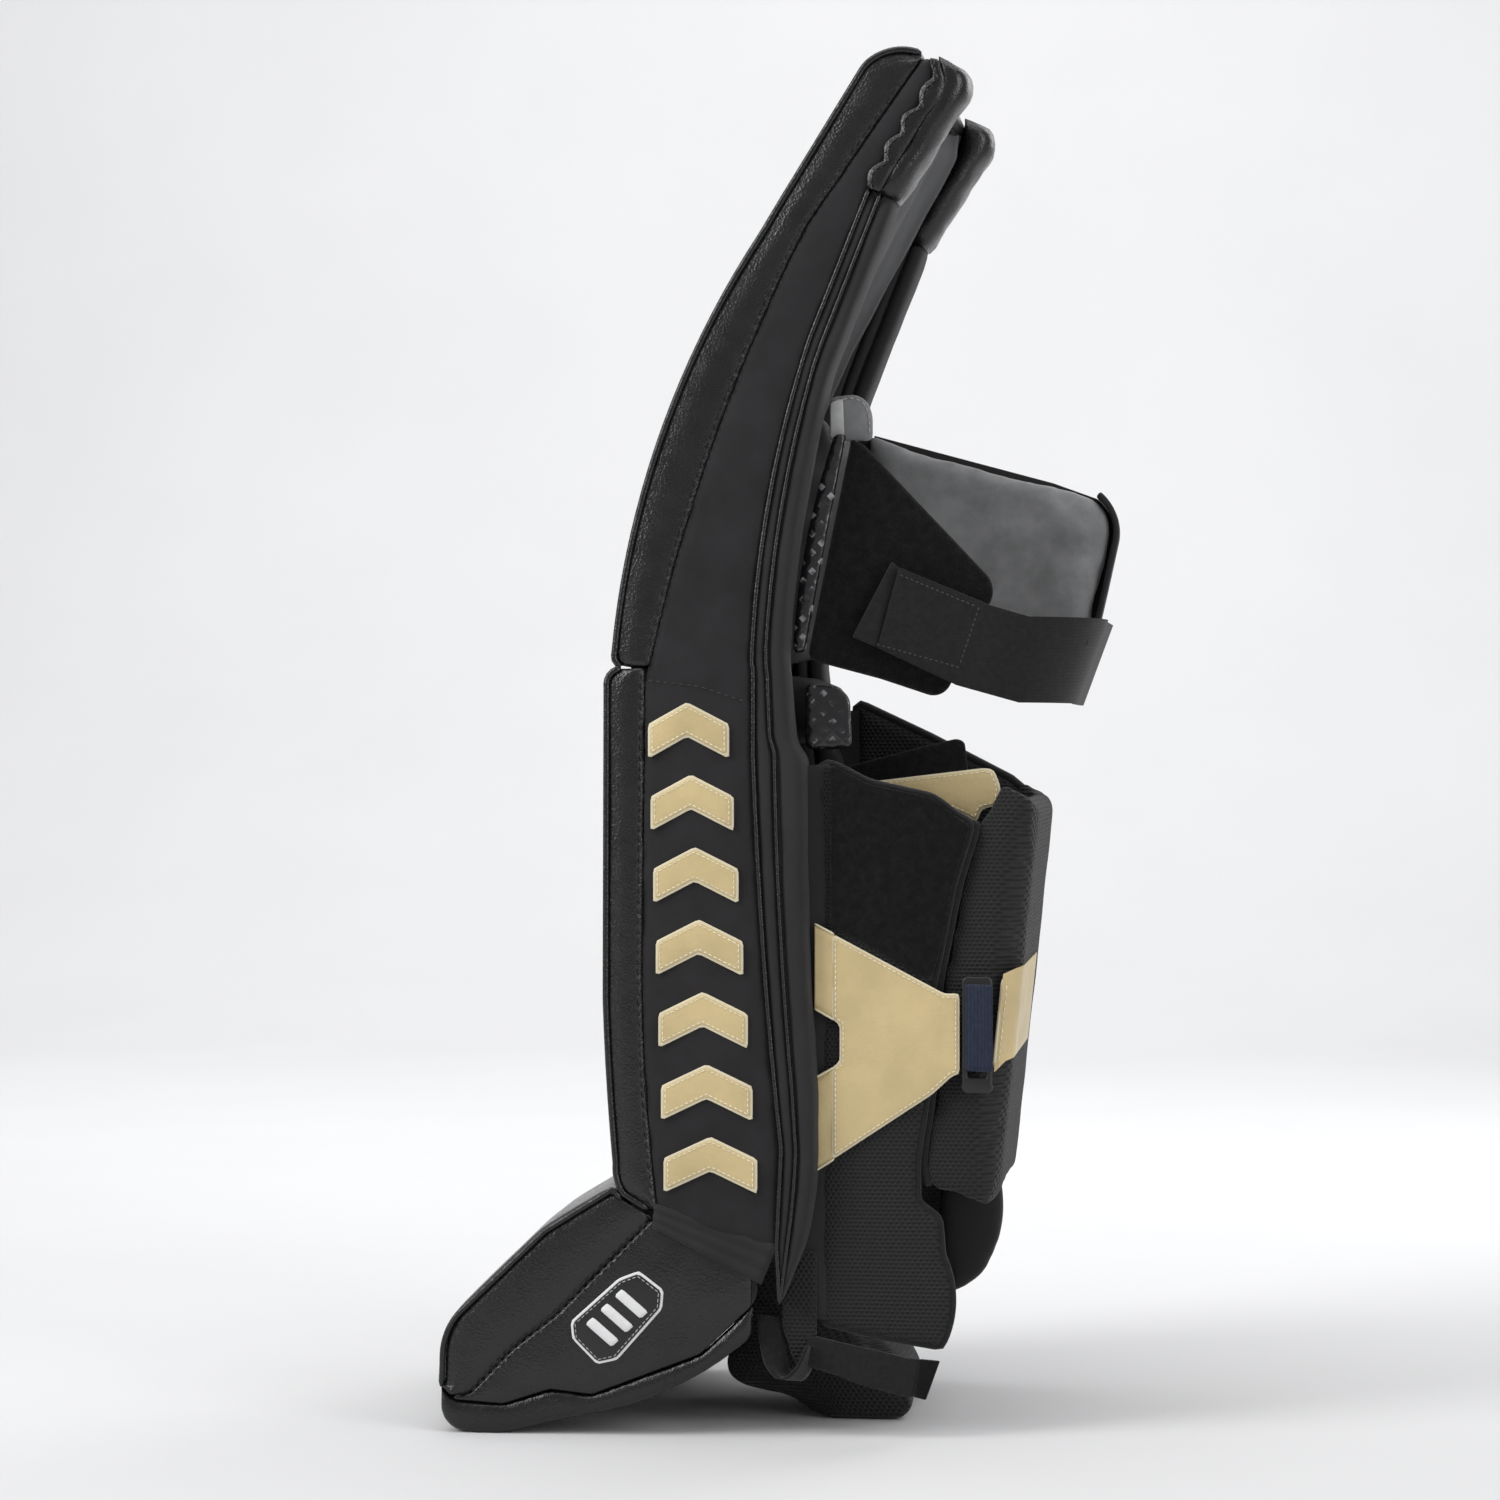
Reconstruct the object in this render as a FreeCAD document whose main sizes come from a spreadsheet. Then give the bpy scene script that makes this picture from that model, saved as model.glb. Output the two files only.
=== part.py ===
import FreeCAD, Part
import math
import os

# Goalie leg pad. Millimetres. +Z is up, -X is the front face, +X is the leg side,
# -Y is the outer side of the leg and +Y the inner side.
# The origin is on the floor, under the middle of the pad's box.

doc = FreeCAD.newDocument("goalie_leg_pad")
subparts = []
V = FreeCAD.Vector

# ---------------------------------------------------------------- driving dimensions

sheet = doc.addObject("Spreadsheet::Sheet", "Dims")
DIMENSIONS = {
    "pad_width": 280.0,        # across the face, an 11 inch pad
    "cover": 2.5,              # thickness of the leather and nylon covers
    "roll_width": 44.0,        # edge roll with its cover
    "binding_width": 40.0,     # rear binding, measured across the pad
    "lining": 4.0,             # channel lining
    "cradle_width": 180.0,     # knee cradle between the rolls
    "top_pad_width": 160.0,    # stacked block above the calf
    "liner_width": 120.0,      # heel liner
    "applique": 1.0,           # sewn emblems and bars
    "wing_thickness": 8.0,     # outer calf wing
    "inner_wing_thickness": 12.0,
    "wing_face": 125.0,        # outer face of the outer calf wing, from the middle
    "loop_panel": 1.2,
    "forked_strap": 1.8,
    "knee_wing_thickness": 17.5,
    "knee_wing_face": 104.5,   # outer face of the inner knee wing, from the middle
    "backing": 1.5,
    "anchor_strip": 6.0,       # thickness of the strip that the outer knee flap is sewn to
    "knee_flap_thickness": 5.0,
    "knee_flap_angle": 14.0,   # degrees that the flap leans in
    "webbing": 2.4,            # elastic straps
    "knee_tab": 3.5,           # folded end of the knee strap
    "heel_anchor": 4.0,
    "heel_tab": 3.6,
    "tongue": 3.0,             # loop flap inside the wrap
    "ring_bar": 4.0,           # thickness of the buckle ring
    "toe_binding_edge": 12.0,  # width of the boot binding's side strips
    "bridge_width": 192.0,     # plate under the toe, between the boot walls
    "bridge_thickness": 6.0,
    "bridge_height": 22.0,     # underside of the plate above the floor
    "eyelet_bore": 10.0,
    "eyelet_barrel": 13.0,
    "eyelet_spacing": 50.0,
    "eyelet_x": -150.0,
    "emblem_rise": 22.0,       # height of each chevron's arms
    "emblem_pitch": 46.0,
    "bar_height": 16.0,
    "bar_pitch": 34.0,
    "loop_width": 18.0,        # hanging loop, across the pad
}
for row, (alias, value) in enumerate(DIMENSIONS.items(), start=1):
    sheet.set(f"A{row}", alias)
    sheet.set(f"B{row}", str(value))
    sheet.setAlias(f"B{row}", alias)
doc.recompute()


def dim(alias):
    """Read one driving dimension from the sheet."""
    return float(sheet.get(alias))


HALF = dim("pad_width") / 2
COVER = dim("cover")

# ---------------------------------------------------------------- outline helpers


def via(x, z):
    """A point that the next arc passes through on its way to the point after it."""
    return ("via", x, z)


def shifted(path, along_x, along_z=0.0):
    """The same path moved in its own plane."""
    moved = []
    for point in path:
        if point[0] == "via":
            moved.append(via(point[1] + along_x, point[2] + along_z))
        else:
            moved.append((point[0] + along_x, point[1] + along_z))
    return moved


def backwards(path):
    """The same path run the other way."""
    return list(reversed(path))


def curves(path):
    """Lines and arcs of a closed outline."""
    pieces = []
    start = path[0]
    middle = None
    for point in path[1:] + path[:1]:
        if point[0] == "via":
            middle = point
            continue
        first = V(start[0], start[1], 0)
        last = V(point[0], point[1], 0)
        if middle is not None:
            pieces.append(Part.Arc(first, V(middle[1], middle[2], 0), last))
        elif (last - first).Length > 1e-6:
            pieces.append(Part.LineSegment(first, last))
        start = point
        middle = None
    return pieces


def plane_of(body, role):
    """One of the body's own origin planes."""
    return next(feature for feature in body.Origin.OriginFeatures if feature.Role == role)


def keep(item, label):
    """Name an object as a sub-part that gets its own file."""
    item.Label = label
    subparts.append(item)
    return item


def sketch_on(body, path, role, name="Outline"):
    """A closed sketch on one of the body's own origin planes."""
    sketch = body.newObject("Sketcher::SketchObject", name)
    sketch.AttachmentSupport = (plane_of(body, role), [""])
    sketch.MapMode = "FlatFace"
    sketch.addGeometry(curves(path), False)
    return sketch


def side_body(name, path, width):
    """A body whose outline is seen from the side and whose width runs along Y, centred."""
    body = doc.addObject("PartDesign::Body", name)
    sketch = sketch_on(body, path, "XZ_Plane")
    pad = body.newObject("PartDesign::Pad", "Pad")
    pad.Profile = sketch
    pad.Midplane = True
    pad.setExpression("Length", width)
    sketch.Visibility = False
    doc.recompute()
    return body


def side_piece(label, path, width, centre="0"):
    """One flat-sided piece: outline from the side, width and middle from the sheet."""
    body = side_body("Body_" + label, path, width)
    body.setExpression(".Placement.Base.y", centre)
    return keep(body, label)


def leaning_ribbon(name, plan, base, height, lean):
    """A ribbon that stands on a plan outline and leans back by `lean` per unit of height."""
    sketch = doc.addObject("Sketcher::SketchObject", name + "_plan")
    sketch.addGeometry(curves(plan), False)
    sketch.Placement = FreeCAD.Placement(V(0, 0, base), FreeCAD.Rotation())
    ribbon = doc.addObject("Part::Extrusion", name)
    ribbon.Base = sketch
    ribbon.DirMode = "Custom"
    ribbon.Dir = V(lean, 0, 1)
    ribbon.LengthFwd = height * math.hypot(1, lean)
    ribbon.Solid = True
    return ribbon


def trimmed(label, solid, side_outline, width):
    """A solid cut to an outline seen from the side."""
    cutter = side_body("Trim_" + label, side_outline, width)
    common = doc.addObject("Part::Common", "Common_" + label)
    common.Base = solid
    common.Tool = cutter
    return keep(common, label)


def shell_over(label, block, core):
    """A cover: the block with the foam core taken out of it."""
    cut = doc.addObject("Part::Cut", "Cut_" + label)
    cut.Base = block
    cut.Tool = core
    return keep(cut, label)


SIDES = {"outer": -1, "inner": 1}
OVERALL = "Dims.pad_width"
INSIDE_COVERS = "Dims.pad_width - 2 * Dims.cover"


def both_sides(label, path, width, distance):
    """The same piece at both sides of the pad; distance is from the middle."""
    for side, sign in SIDES.items():
        side_piece(label.format(side=side), path, width, f"{sign} * ({distance})")


# ---------------------------------------------------------------- lines of the side view
# All run upwards. The block above the knee break starts at THIGH_FOOT, the shin ends at SHIN_TOP.

THIGH_FOOT = 491.5
SHIN_TOP = 489.5

THIGH_FRONT = [(-97, THIGH_FOOT), via(-101, 493), (-102, 499), via(-71, 641), (-7, 766),
               (59, 873), via(74, 881), (96, 878)]
THIGH_STITCH = [(-77, THIGH_FOOT), via(-39, 625), (23, 769), (96, 873)]
THIGH_CORE_FRONT = [(-96, 494), (-99, 500), via(-68, 641), (-4, 765), (61, 870), via(74, 878), (93, 876)]
THIGH_CORE_BACK = [(-48, 494), via(-24, 612), (30, 738), (88, 846)]
THIGH_SEAM = [(-12, THIGH_FOOT), via(-1, 595), (25, 698), (63, 793)]
THIGH_EDGE = [(9, 495), via(20, 595), (38, 678), (80, 785)]
CAP_LEFT = [(63, 793), (90, 837), via(102, 855), (107, 872)]
CAP_RIGHT = [(80, 785), (117, 843), via(126, 857), (124, 866), (107, 875)]

SHIN_FACE_X = -107.5
SHIN_FRONT = [(-79, 145), (-96, 154), via(-100, 162), (-101, 173), via(-105, 225), (SHIN_FACE_X, 278),
              (-107, 478), via(-104, 487), (-97, SHIN_TOP)]
SHIN_STITCH = [(-72, 145), via(-79, 215), (-82, 303), (-80, SHIN_TOP)]
SHIN_CORE_FRONT = [(-79, 148), (-94, 156), (-98, 173), via(-102, 225), (-105, 278), (-104.5, 478),
                   (-97, 487)]
SHIN_CORE_BACK = [(-51, 141), (-51, 487)]
SHIN_SEAM = [(4, 122), (7, 184), via(-3, 290), (-11, 433), (-11, SHIN_TOP)]
SHIN_EDGE = [(6, 86), (19, 118), via(27, 155), (29, 190), (29, 219), via(23, 320), (21.5, 433),
             (14, 442), (10, SHIN_TOP)]

BOOT_TOP = [(-97, 151.5), (-103, 159), (-148, 132), (-204, 78), via(-211, 66), (-213.5, 52), (-213, 30)]
BOOT_SEAM = [(-75, 139), (-138, 76), (-166, 54), (-195, 24), (-205, 24)]
BOOT_CORE_TOP = [(-97, 148.5), (-102, 155), (-147, 128.5), (-202, 76), via(-208, 65), (-210.5, 52),
                 (-210.5, 30)]
BINDING_TOP = [(-12, 84), (-45, 53), (-115, 26), (-142, 29), (-172, 19), (-205, 21), (-213, 30)]
BINDING_FOOT = [(-12, 64), (-27, 52), via(-64, 30), (-99, 17), (-135, 9), (-172, 0), (-197, 0),
                via(-208.5, 4.8), (-213.5, 14), (-213, 30)]


# ---------------------------------------------------------------- shin, thigh and boot

BESIDE_COVER = "Dims.pad_width / 2 - Dims.cover / 2"
BESIDE_ROLL = "Dims.pad_width / 2 - (Dims.roll_width + Dims.cover) / 2"
BESIDE_BINDING = "(Dims.pad_width - Dims.binding_width) / 2"
ROLL_FOAM = "Dims.roll_width - Dims.cover"
BETWEEN_ROLLS = "Dims.pad_width - 2 * Dims.roll_width"


def make_face(zone, front, stitch, core_front, core_back):
    """The foam core of one zone and the leather cover over its front and front edges."""
    core = side_piece(f"{zone}_foam_core", core_front + backwards(core_back), INSIDE_COVERS)
    block = side_body(f"Block_{zone}", front + backwards(stitch), OVERALL)
    shell_over(f"{zone}_face", block, core)


def make_thigh():
    """Everything above the knee break: face, sides, rolls, bindings, caps and lining."""
    rear_seam = THIGH_SEAM + CAP_LEFT[1:]
    make_face("thigh", THIGH_FRONT, THIGH_STITCH, THIGH_CORE_FRONT, THIGH_CORE_BACK)
    both_sides("thigh_{side}_side", THIGH_STITCH + backwards(rear_seam), "Dims.cover", BESIDE_COVER)
    roll = THIGH_CORE_BACK + [(91.4, 866.4), (96, 873)] + backwards(rear_seam)
    both_sides("thigh_{side}_roll", roll, ROLL_FOAM, BESIDE_ROLL)
    binding = THIGH_SEAM + backwards(THIGH_EDGE)
    both_sides("thigh_{side}_binding", binding, "Dims.binding_width", BESIDE_BINDING)
    both_sides("thigh_{side}_cap", CAP_LEFT + backwards(CAP_RIGHT), "Dims.binding_width", BESIDE_BINDING)
    lining_back = shifted(THIGH_CORE_BACK, dim("lining"))
    side_piece("thigh_lining", THIGH_CORE_BACK + backwards(lining_back), BETWEEN_ROLLS)


def make_shin():
    """Everything between the knee break and the boot break."""
    make_face("shin", SHIN_FRONT, SHIN_STITCH, SHIN_CORE_FRONT, SHIN_CORE_BACK)
    both_sides("shin_{side}_side", SHIN_STITCH + backwards(SHIN_SEAM), "Dims.cover", BESIDE_COVER)
    both_sides("shin_{side}_roll", SHIN_CORE_BACK + backwards(SHIN_SEAM), ROLL_FOAM, BESIDE_ROLL)
    binding = SHIN_SEAM + backwards(SHIN_EDGE)
    both_sides("shin_{side}_binding", binding, "Dims.binding_width", BESIDE_BINDING)
    lining_back = shifted(SHIN_CORE_BACK, dim("lining"))
    side_piece("shin_lining", SHIN_CORE_BACK + backwards(lining_back), BETWEEN_ROLLS)


def make_boot():
    """The boot: face, flat sides and the padded walls behind them."""
    core_foot = [(-77, 137), *BOOT_SEAM[1:4]]
    make_face("boot", BOOT_TOP, [(-79, 141.5), *BOOT_SEAM], BOOT_CORE_TOP, core_foot)
    side = [(-75, 139), (-71, 132), (-12, 104)] + BINDING_TOP[:-1] + BOOT_SEAM[:0:-1]
    both_sides("boot_{side}_side", side, "Dims.cover", BESIDE_COVER)
    wall = [(-77, 137), (-71, 132), (-12, 104)] + BINDING_TOP[:5] + [(-195, 20.4), *BOOT_SEAM[3:0:-1]]
    both_sides("boot_{side}_wall", wall, ROLL_FOAM, BESIDE_ROLL)


def make_boot_binding():
    """Heavy binding: solid across the toe and a strip along both lower edges."""
    body = side_body("Body_boot_binding", BINDING_FOOT + BINDING_TOP[-2::-1], OVERALL)
    solid_volume = body.Shape.Volume
    toe_rear, rear, below, above = -172, 10, -10, 110
    inner = [(toe_rear, below), (rear, below), (rear, above), (toe_rear, above)]
    sketch = sketch_on(body, inner, "XZ_Plane", "Inner")
    pocket = body.newObject("PartDesign::Pocket", "Inner_room")
    pocket.Profile = sketch
    pocket.Midplane = True
    pocket.setExpression("Length", "Dims.pad_width - 2 * Dims.toe_binding_edge")
    doc.recompute()
    assert body.Shape.Volume < solid_volume
    keep(body, "boot_binding")


def make_toe_bridge():
    """Plate under the toe with the two toe-tie holes, and the eyelets that line them."""
    bridge = doc.addObject("PartDesign::Body", "Body_toe_bridge")
    front, rear, side = -172, -134, dim("bridge_width") / 2
    outline = [(front, -side), (rear, -side), (rear, side), (front, side)]
    sketch = sketch_on(bridge, outline, "XY_Plane")
    pad = bridge.newObject("PartDesign::Pad", "Pad")
    pad.Profile = sketch
    pad.setExpression("Length", "Dims.bridge_thickness")
    doc.recompute()
    plain_volume = bridge.Shape.Volume
    holes = bridge.newObject("Sketcher::SketchObject", "Holes")
    holes.AttachmentSupport = (plane_of(bridge, "XY_Plane"), [""])
    holes.MapMode = "FlatFace"
    for sign in SIDES.values():
        centre = V(dim("eyelet_x"), sign * dim("eyelet_spacing") / 2, 0)
        holes.addGeometry(Part.Circle(centre, V(0, 0, 1), dim("eyelet_barrel") / 2), False)
    pocket = bridge.newObject("PartDesign::Pocket", "Eyelet_holes")
    pocket.Profile = holes
    pocket.Type = "ThroughAll"
    pocket.Midplane = True
    bridge.setExpression(".Placement.Base.z", "Dims.bridge_height")
    doc.recompute()
    assert bridge.Shape.Volume < plain_volume
    keep(bridge, "toe_bridge")

    rings = []
    for side, sign in SIDES.items():
        outer = doc.addObject("Part::Cylinder", f"Eyelet_barrel_{side}")
        outer.setExpression("Radius", "Dims.eyelet_barrel / 2")
        outer.setExpression("Height", "Dims.bridge_thickness")
        bore = doc.addObject("Part::Cylinder", f"Eyelet_bore_{side}")
        bore.setExpression("Radius", "Dims.eyelet_bore / 2")
        bore.setExpression("Height", "Dims.bridge_thickness")
        for cylinder in (outer, bore):
            cylinder.setExpression(".Placement.Base.x", "Dims.eyelet_x")
            cylinder.setExpression(".Placement.Base.y", f"{sign} * Dims.eyelet_spacing / 2")
            cylinder.setExpression(".Placement.Base.z", "Dims.bridge_height")
        ring = doc.addObject("Part::Cut", f"Eyelet_{side}")
        ring.Base = outer
        ring.Tool = bore
        rings.append(ring)
    pair = doc.addObject("Part::Compound", "Eyelets")
    pair.Links = rings
    keep(pair, "toe_tie_eyelets")


# ---------------------------------------------------------------- emblems and bars

OUTSIDE = "-(Dims.pad_width / 2 + Dims.applique / 2)"


def make_side_emblems():
    """Seven sewn chevrons up the outer side of the shin, moving forwards as they go up."""
    chevrons = []
    arm = dim("emblem_rise")
    for index in range(7):
        foot = 156 + index * dim("emblem_pitch")
        peak = foot + 14
        front = -68 - index * 5 / 3
        middle = -38 - index * 5 / 2
        rear = -8 - index * 3
        outline = [(front, foot), (middle, peak), (rear, foot), (rear, foot + arm), (middle, peak + arm),
                   (front, foot + arm)]
        chevron = side_body(f"Chevron_{index}", outline, "Dims.applique")
        chevron.setExpression(".Placement.Base.y", OUTSIDE)
        chevrons.append(chevron)
    group = doc.addObject("Part::Compound", "Chevrons")
    group.Links = chevrons
    keep(group, "side_emblems")


def make_boot_badge():
    """Plain tilted badge on the outer side of the boot."""
    outline = [(-127, 62), (-111, 46), (-98, 49), (-69, 82), (-68, 94), (-84, 106), (-97, 101), (-128, 73)]
    side_piece("boot_badge", outline, "Dims.applique", OUTSIDE)


def make_face_bars():
    """Light bars sewn across the shin face."""
    bars = []
    for index in range(3):
        bar = doc.addObject("Part::Box", f"Bar_{index}")
        bar.setExpression("Length", "Dims.applique")
        bar.Width = 200 - 40 * index
        bar.setExpression("Height", "Dims.bar_height")
        foot = 300 + index * dim("bar_pitch")
        bar.Placement.Base = V(SHIN_FACE_X - dim("applique"), -bar.Width.Value / 2, foot)
        bars.append(bar)
    group = doc.addObject("Part::Compound", "Bars")
    group.Links = bars
    keep(group, "face_bars")


# ---------------------------------------------------------------- inside the leg channel


def make_knee_cradle():
    """Padded support behind the knee block."""
    front = [(-42, 498), via(-30, 573), (-4, 655)]
    back = [(6, 498), via(18, 580), (34, 655)]
    side_piece("knee_cradle", front + backwards(back), "Dims.cradle_width")


def make_knee_anchor_strip():
    """Strip along the outer roll that the knee flap is sewn to."""
    outline = [(11, 500), via(21.5, 580), (38, 640), (46, 640), (19, 500)]
    side_piece("knee_anchor_strip", outline, "Dims.anchor_strip", "-111")


def make_calf_top_pad():
    """Stacked block across the channel, between the knee and the calf."""
    outline = [(-47, 446), (20, 446), via(26, 448), (28, 454), (28, 474), via(26, 480), (20, 482), (-47, 482)]
    side_piece("calf_top_pad", outline, "Dims.top_pad_width")


def make_heel_liner():
    """Soft liner at the foot of the channel, which reaches the floor behind the boot."""
    outline = [(-51, 141), (-40, 141), (10, 90), (28, 82), (60, 44), via(76, 32), (84, 14), via(84, 3),
               (78, 0), (30, 0), (0, 16), (-32, 24), via(-40, 32), (-34, 46), (-20, 56), (-51, 100)]
    side_piece("heel_liner", outline, "Dims.liner_width")


def make_heel_strap_anchor():
    """Plate inside the outer binding that the heel strap is sewn to."""
    outline = [(6, 86), (19, 118), (28, 118), (28, 46), (14, 46), (6, 70)]
    side_piece("heel_strap_anchor", outline, "Dims.heel_anchor", "-125")


def make_hanging_loop():
    """Elastic loop under the foot of the outer binding."""
    outline = [(3, 70), (3, 45), via(12, 32), (24, 46), (14, 46), via(11, 42), (6, 50), (6, 70)]
    side_piece("hanging_loop", outline, "Dims.loop_width", "-114")


# ---------------------------------------------------------------- inner knee wing, strap and outer flap


def make_knee_wing():
    """Inner knee pad, its rear binding and the backing on its far side."""
    rear = [(180, 474), (196, 521), (202, 546), (208.5, 578), via(209, 595), (198, 611)]
    edge = [(184, 472), (200, 520), (206, 546), (213, 578), via(211, 602), (201, 615)]
    pad = [(40, 512), (60, 500), (110, 480), (150, 471)] + rear + [(168, 622), (96, 642), (40, 657)]
    face = "Dims.knee_wing_face - Dims.knee_wing_thickness / 2"
    side_piece("knee_wing_pad", pad, "Dims.knee_wing_thickness", face)
    side_piece("knee_wing_binding", rear + backwards(edge), "Dims.knee_wing_thickness + 2", face)
    backing = [(44, 512), *pad[1:-1], (44, 656)]
    side_piece("knee_wing_backing", backing, "Dims.backing", "Dims.knee_wing_face + Dims.backing / 2")


def make_knee_flap():
    """Outer knee flap. It leans in about the slanted line that it is sewn along."""
    outline = [(49, 637), (57, 633), (138, 549), via(141, 542), (139, 531), (114, 480), via(109, 474),
               (98, 473), (68, 483), (23, 495), (21.5, 500)]
    flap = keep(side_body("Body_knee_flap", outline, "Dims.knee_flap_thickness"), "knee_flap")
    sewn_line = V(28, 0, 138)
    pivot_x, pivot_y, pivot_z = 33, -112, 567
    turn = FreeCAD.Rotation(sewn_line, dim("knee_flap_angle"))
    moved_pivot = turn.multVec(V(pivot_x, 0, pivot_z))
    flap.Placement = FreeCAD.Placement(V(pivot_x, pivot_y, pivot_z) - moved_pivot, turn)


def make_knee_strap():
    """Wide elastic: from the rear edge of the inner wing round behind the knee to the outer flap.

    Its folded end lies on the stretch that runs forwards and outwards at the outer side.
    """
    thick = dim("webbing")
    plan = [(14, -124.5), (118, -107), via(170, -80), (187, -10), (189, 84), (189 - thick, 84),
            (187 - thick, -10), via(168, -78), (118, -107 + thick), (14, -124.5 + thick)]
    ribbon = leaning_ribbon("Knee_ribbon", plan, 466, 100, 0.37)
    side = [(80, 554), (138, 530), (162, 523), (216, 523), (190, 468), (155, 468), (116, 479), (66, 503)]
    trimmed("knee_strap", ribbon, side, "400")
    tab = [(50, 510), (65.5, 503.2), (79.5, 554.2), (75, 558)]
    tab_piece = keep(side_body("Body_knee_strap_tab", tab, "Dims.knee_tab"), "knee_strap_tab")
    outward, forward = plan[1][1] - plan[0][1], plan[1][0] - plan[0][0]
    turn = FreeCAD.Rotation(V(0, 0, 1), math.degrees(math.atan2(outward, forward)))
    tab_piece.Placement = FreeCAD.Placement(V(65, -114.7, 0) - turn.multVec(V(65, 0, 0)), turn)


# ---------------------------------------------------------------- calf wings, straps and heel strap

WING_MIDDLE = "-(Dims.wing_face - Dims.wing_thickness / 2)"


def make_outer_wing():
    """Outer calf wing: a mesh pad with a loop-faced panel sewn over its upper part."""
    pad = [(31, 73), (37, 71), (69, 64), (107, 58), via(114, 80), (108, 116), (106, 140), (92, 150),
            (92, 178), (98, 217), (102, 287), (107, 311), (115, 352), (127, 391), (118, 396), (102, 408),
            (61, 417), (40, 428), (31, 430)]
    side_piece("outer_wing_pad", pad, "Dims.wing_thickness", WING_MIDDLE)
    loop = [(37, 326), (96, 294), (103, 296), (107, 311), (115, 352), (126, 389), (118, 395), (102, 407),
            (61, 416), (40, 427), (37, 427)]
    side_piece("outer_wing_loop_panel", loop, "Dims.loop_panel",
               "-(Dims.wing_face + Dims.loop_panel / 2)")


def make_v_strap():
    """Forked strap with a hexagonal window at its wide end."""
    outline = [(38, 321), (110, 283), (119.5, 283.5), (119.5, 232), (115, 231), (102, 219), (38, 176.5),
               (38, 236), (43, 239), (43, 263), (38, 266)]
    middle = "-(Dims.wing_face + Dims.loop_panel + 0.6 + Dims.forked_strap / 2)"
    side_piece("v_strap", outline, "Dims.forked_strap", middle)


BUCKLE_Y = "-128"


def make_buckle():
    """Plastic ring at the end of the forked strap, and the ribbed web sewn round its bar."""
    outline = [(121, 226), via(122, 221), (126, 220), (135, 220), via(139, 221), (140, 226),
               (140, 288), via(139, 293), (135, 294), (126, 294), via(122, 293), (121, 288)]
    ring = side_body("Body_buckle_ring", outline, "Dims.ring_bar")
    solid_volume = ring.Shape.Volume
    window = sketch_on(ring, [(124.5, 230), (136.5, 230), (136.5, 284), (124.5, 284)], "XZ_Plane", "Window")
    pocket = ring.newObject("PartDesign::Pocket", "Window_cut")
    pocket.Profile = window
    pocket.Type = "ThroughAll"
    pocket.Midplane = True
    doc.recompute()
    assert ring.Shape.Volume < solid_volume
    ring.setExpression(".Placement.Base.y", BUCKLE_Y)
    keep(ring, "buckle_ring")
    side_piece("buckle_web", [(125, 232), (136, 232), (136, 282), (125, 282)], "Dims.webbing", BUCKLE_Y)


def make_inner_wing():
    """Inner calf wing and the smooth pad sewn inside its foot."""
    wing = [(31, 74), (84, 62), (90, 95), (92, 148), (134, 148), (146, 233), (152, 300), (158, 400),
            (138, 417), (82, 446), (31, 470)]
    side_piece("inner_wing_pad", wing, "Dims.inner_wing_thickness", "118")
    lower = [(110, 145), (90, 132), (91, 95), (99, 61), (119, 74), via(131, 100), (132, 145)]
    side_piece("lower_calf_pad", lower, "16", "104")


def make_calf_wrap():
    """Padded wrap: from the inner wing round behind the calf to the outer side, leaning back."""
    plan = [(70, -118), (124, -118), via(134, -114), (138, -104), (138, 98), via(134, 108), (124, 112),
            (108, 112), (108, 101.5), (122, 101.5), via(126, 100), (128, 96), (128, -102), via(126, -107),
            (122, -108), (70, -108)]
    ribbon = leaning_ribbon("Wrap_ribbon", plan, 140, 290, 0.105)
    side = [(95, 167), (101, 158), (118, 153), (134, 145), (148, 145), (172, 404), (144, 417), (134, 396),
            (131, 394), (118, 352), (110, 311), (105, 287), (101, 217), (95, 178)]
    trimmed("calf_wrap", ribbon, side, "400")


def make_calf_strap_tail():
    """Gold tail of the calf strap, outside the wrap: near corner, rear, and on to the inner side."""
    thick = 1.8
    plan = [(131, -121), via(138, -116), (141, -104), (141, 60), (141 + thick, 60), (141 + thick, -104.5),
            via(139.4, -117.4), (131, -121 - thick)]
    ribbon = leaning_ribbon("Tail_ribbon", plan, 145, 200, 0.105)
    side = [(141, 233), (148, 240), (170, 248), (170, 303), (155, 299), (141, 293)]
    trimmed("calf_strap_tail", ribbon, side, "400")


TONGUE_Y = "-74.5"


def make_tongue():
    """Inner loop flap with the gold strap on it; its pointed end lies inside the wrap."""
    base = [(-47, 352), (29.5, 352), (29.5, 424), (-47, 424)]
    side_piece("tongue_base", base, "Dims.tongue", TONGUE_Y)
    flap = [(32, 352), (50, 352), (56, 384), (98, 404), (121, 404), (121, 428), (119, 443), (114, 445),
            (96, 441), (36, 425), (32, 424)]
    side_piece("calf_tongue_flap", flap, "Dims.tongue", TONGUE_Y)
    strap = [(57, 412), (99, 404), (122, 394), (127, 390), (130, 399), (141, 402), (142.5, 414), (138, 425),
             (132, 426), (57, 417)]
    side_piece("upper_strap", strap, "Dims.forked_strap", "-(76 + Dims.forked_strap / 2)")


HEEL_STRAP_Y = "-127.5"


def make_heel_strap():
    """Elastic heel strap and its folded end."""
    strap = [(37, 62), (69, 55.5), (86, 51.5), (94, 51), (90, 27), (80, 28), (56, 34), (37, 41)]
    side_piece("heel_strap", strap, "Dims.webbing", HEEL_STRAP_Y)
    tab = [(94, 51), (107, 50), (98, 25), (90, 27)]
    side_piece("heel_strap_tab", tab, "Dims.heel_tab", HEEL_STRAP_Y)


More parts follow.
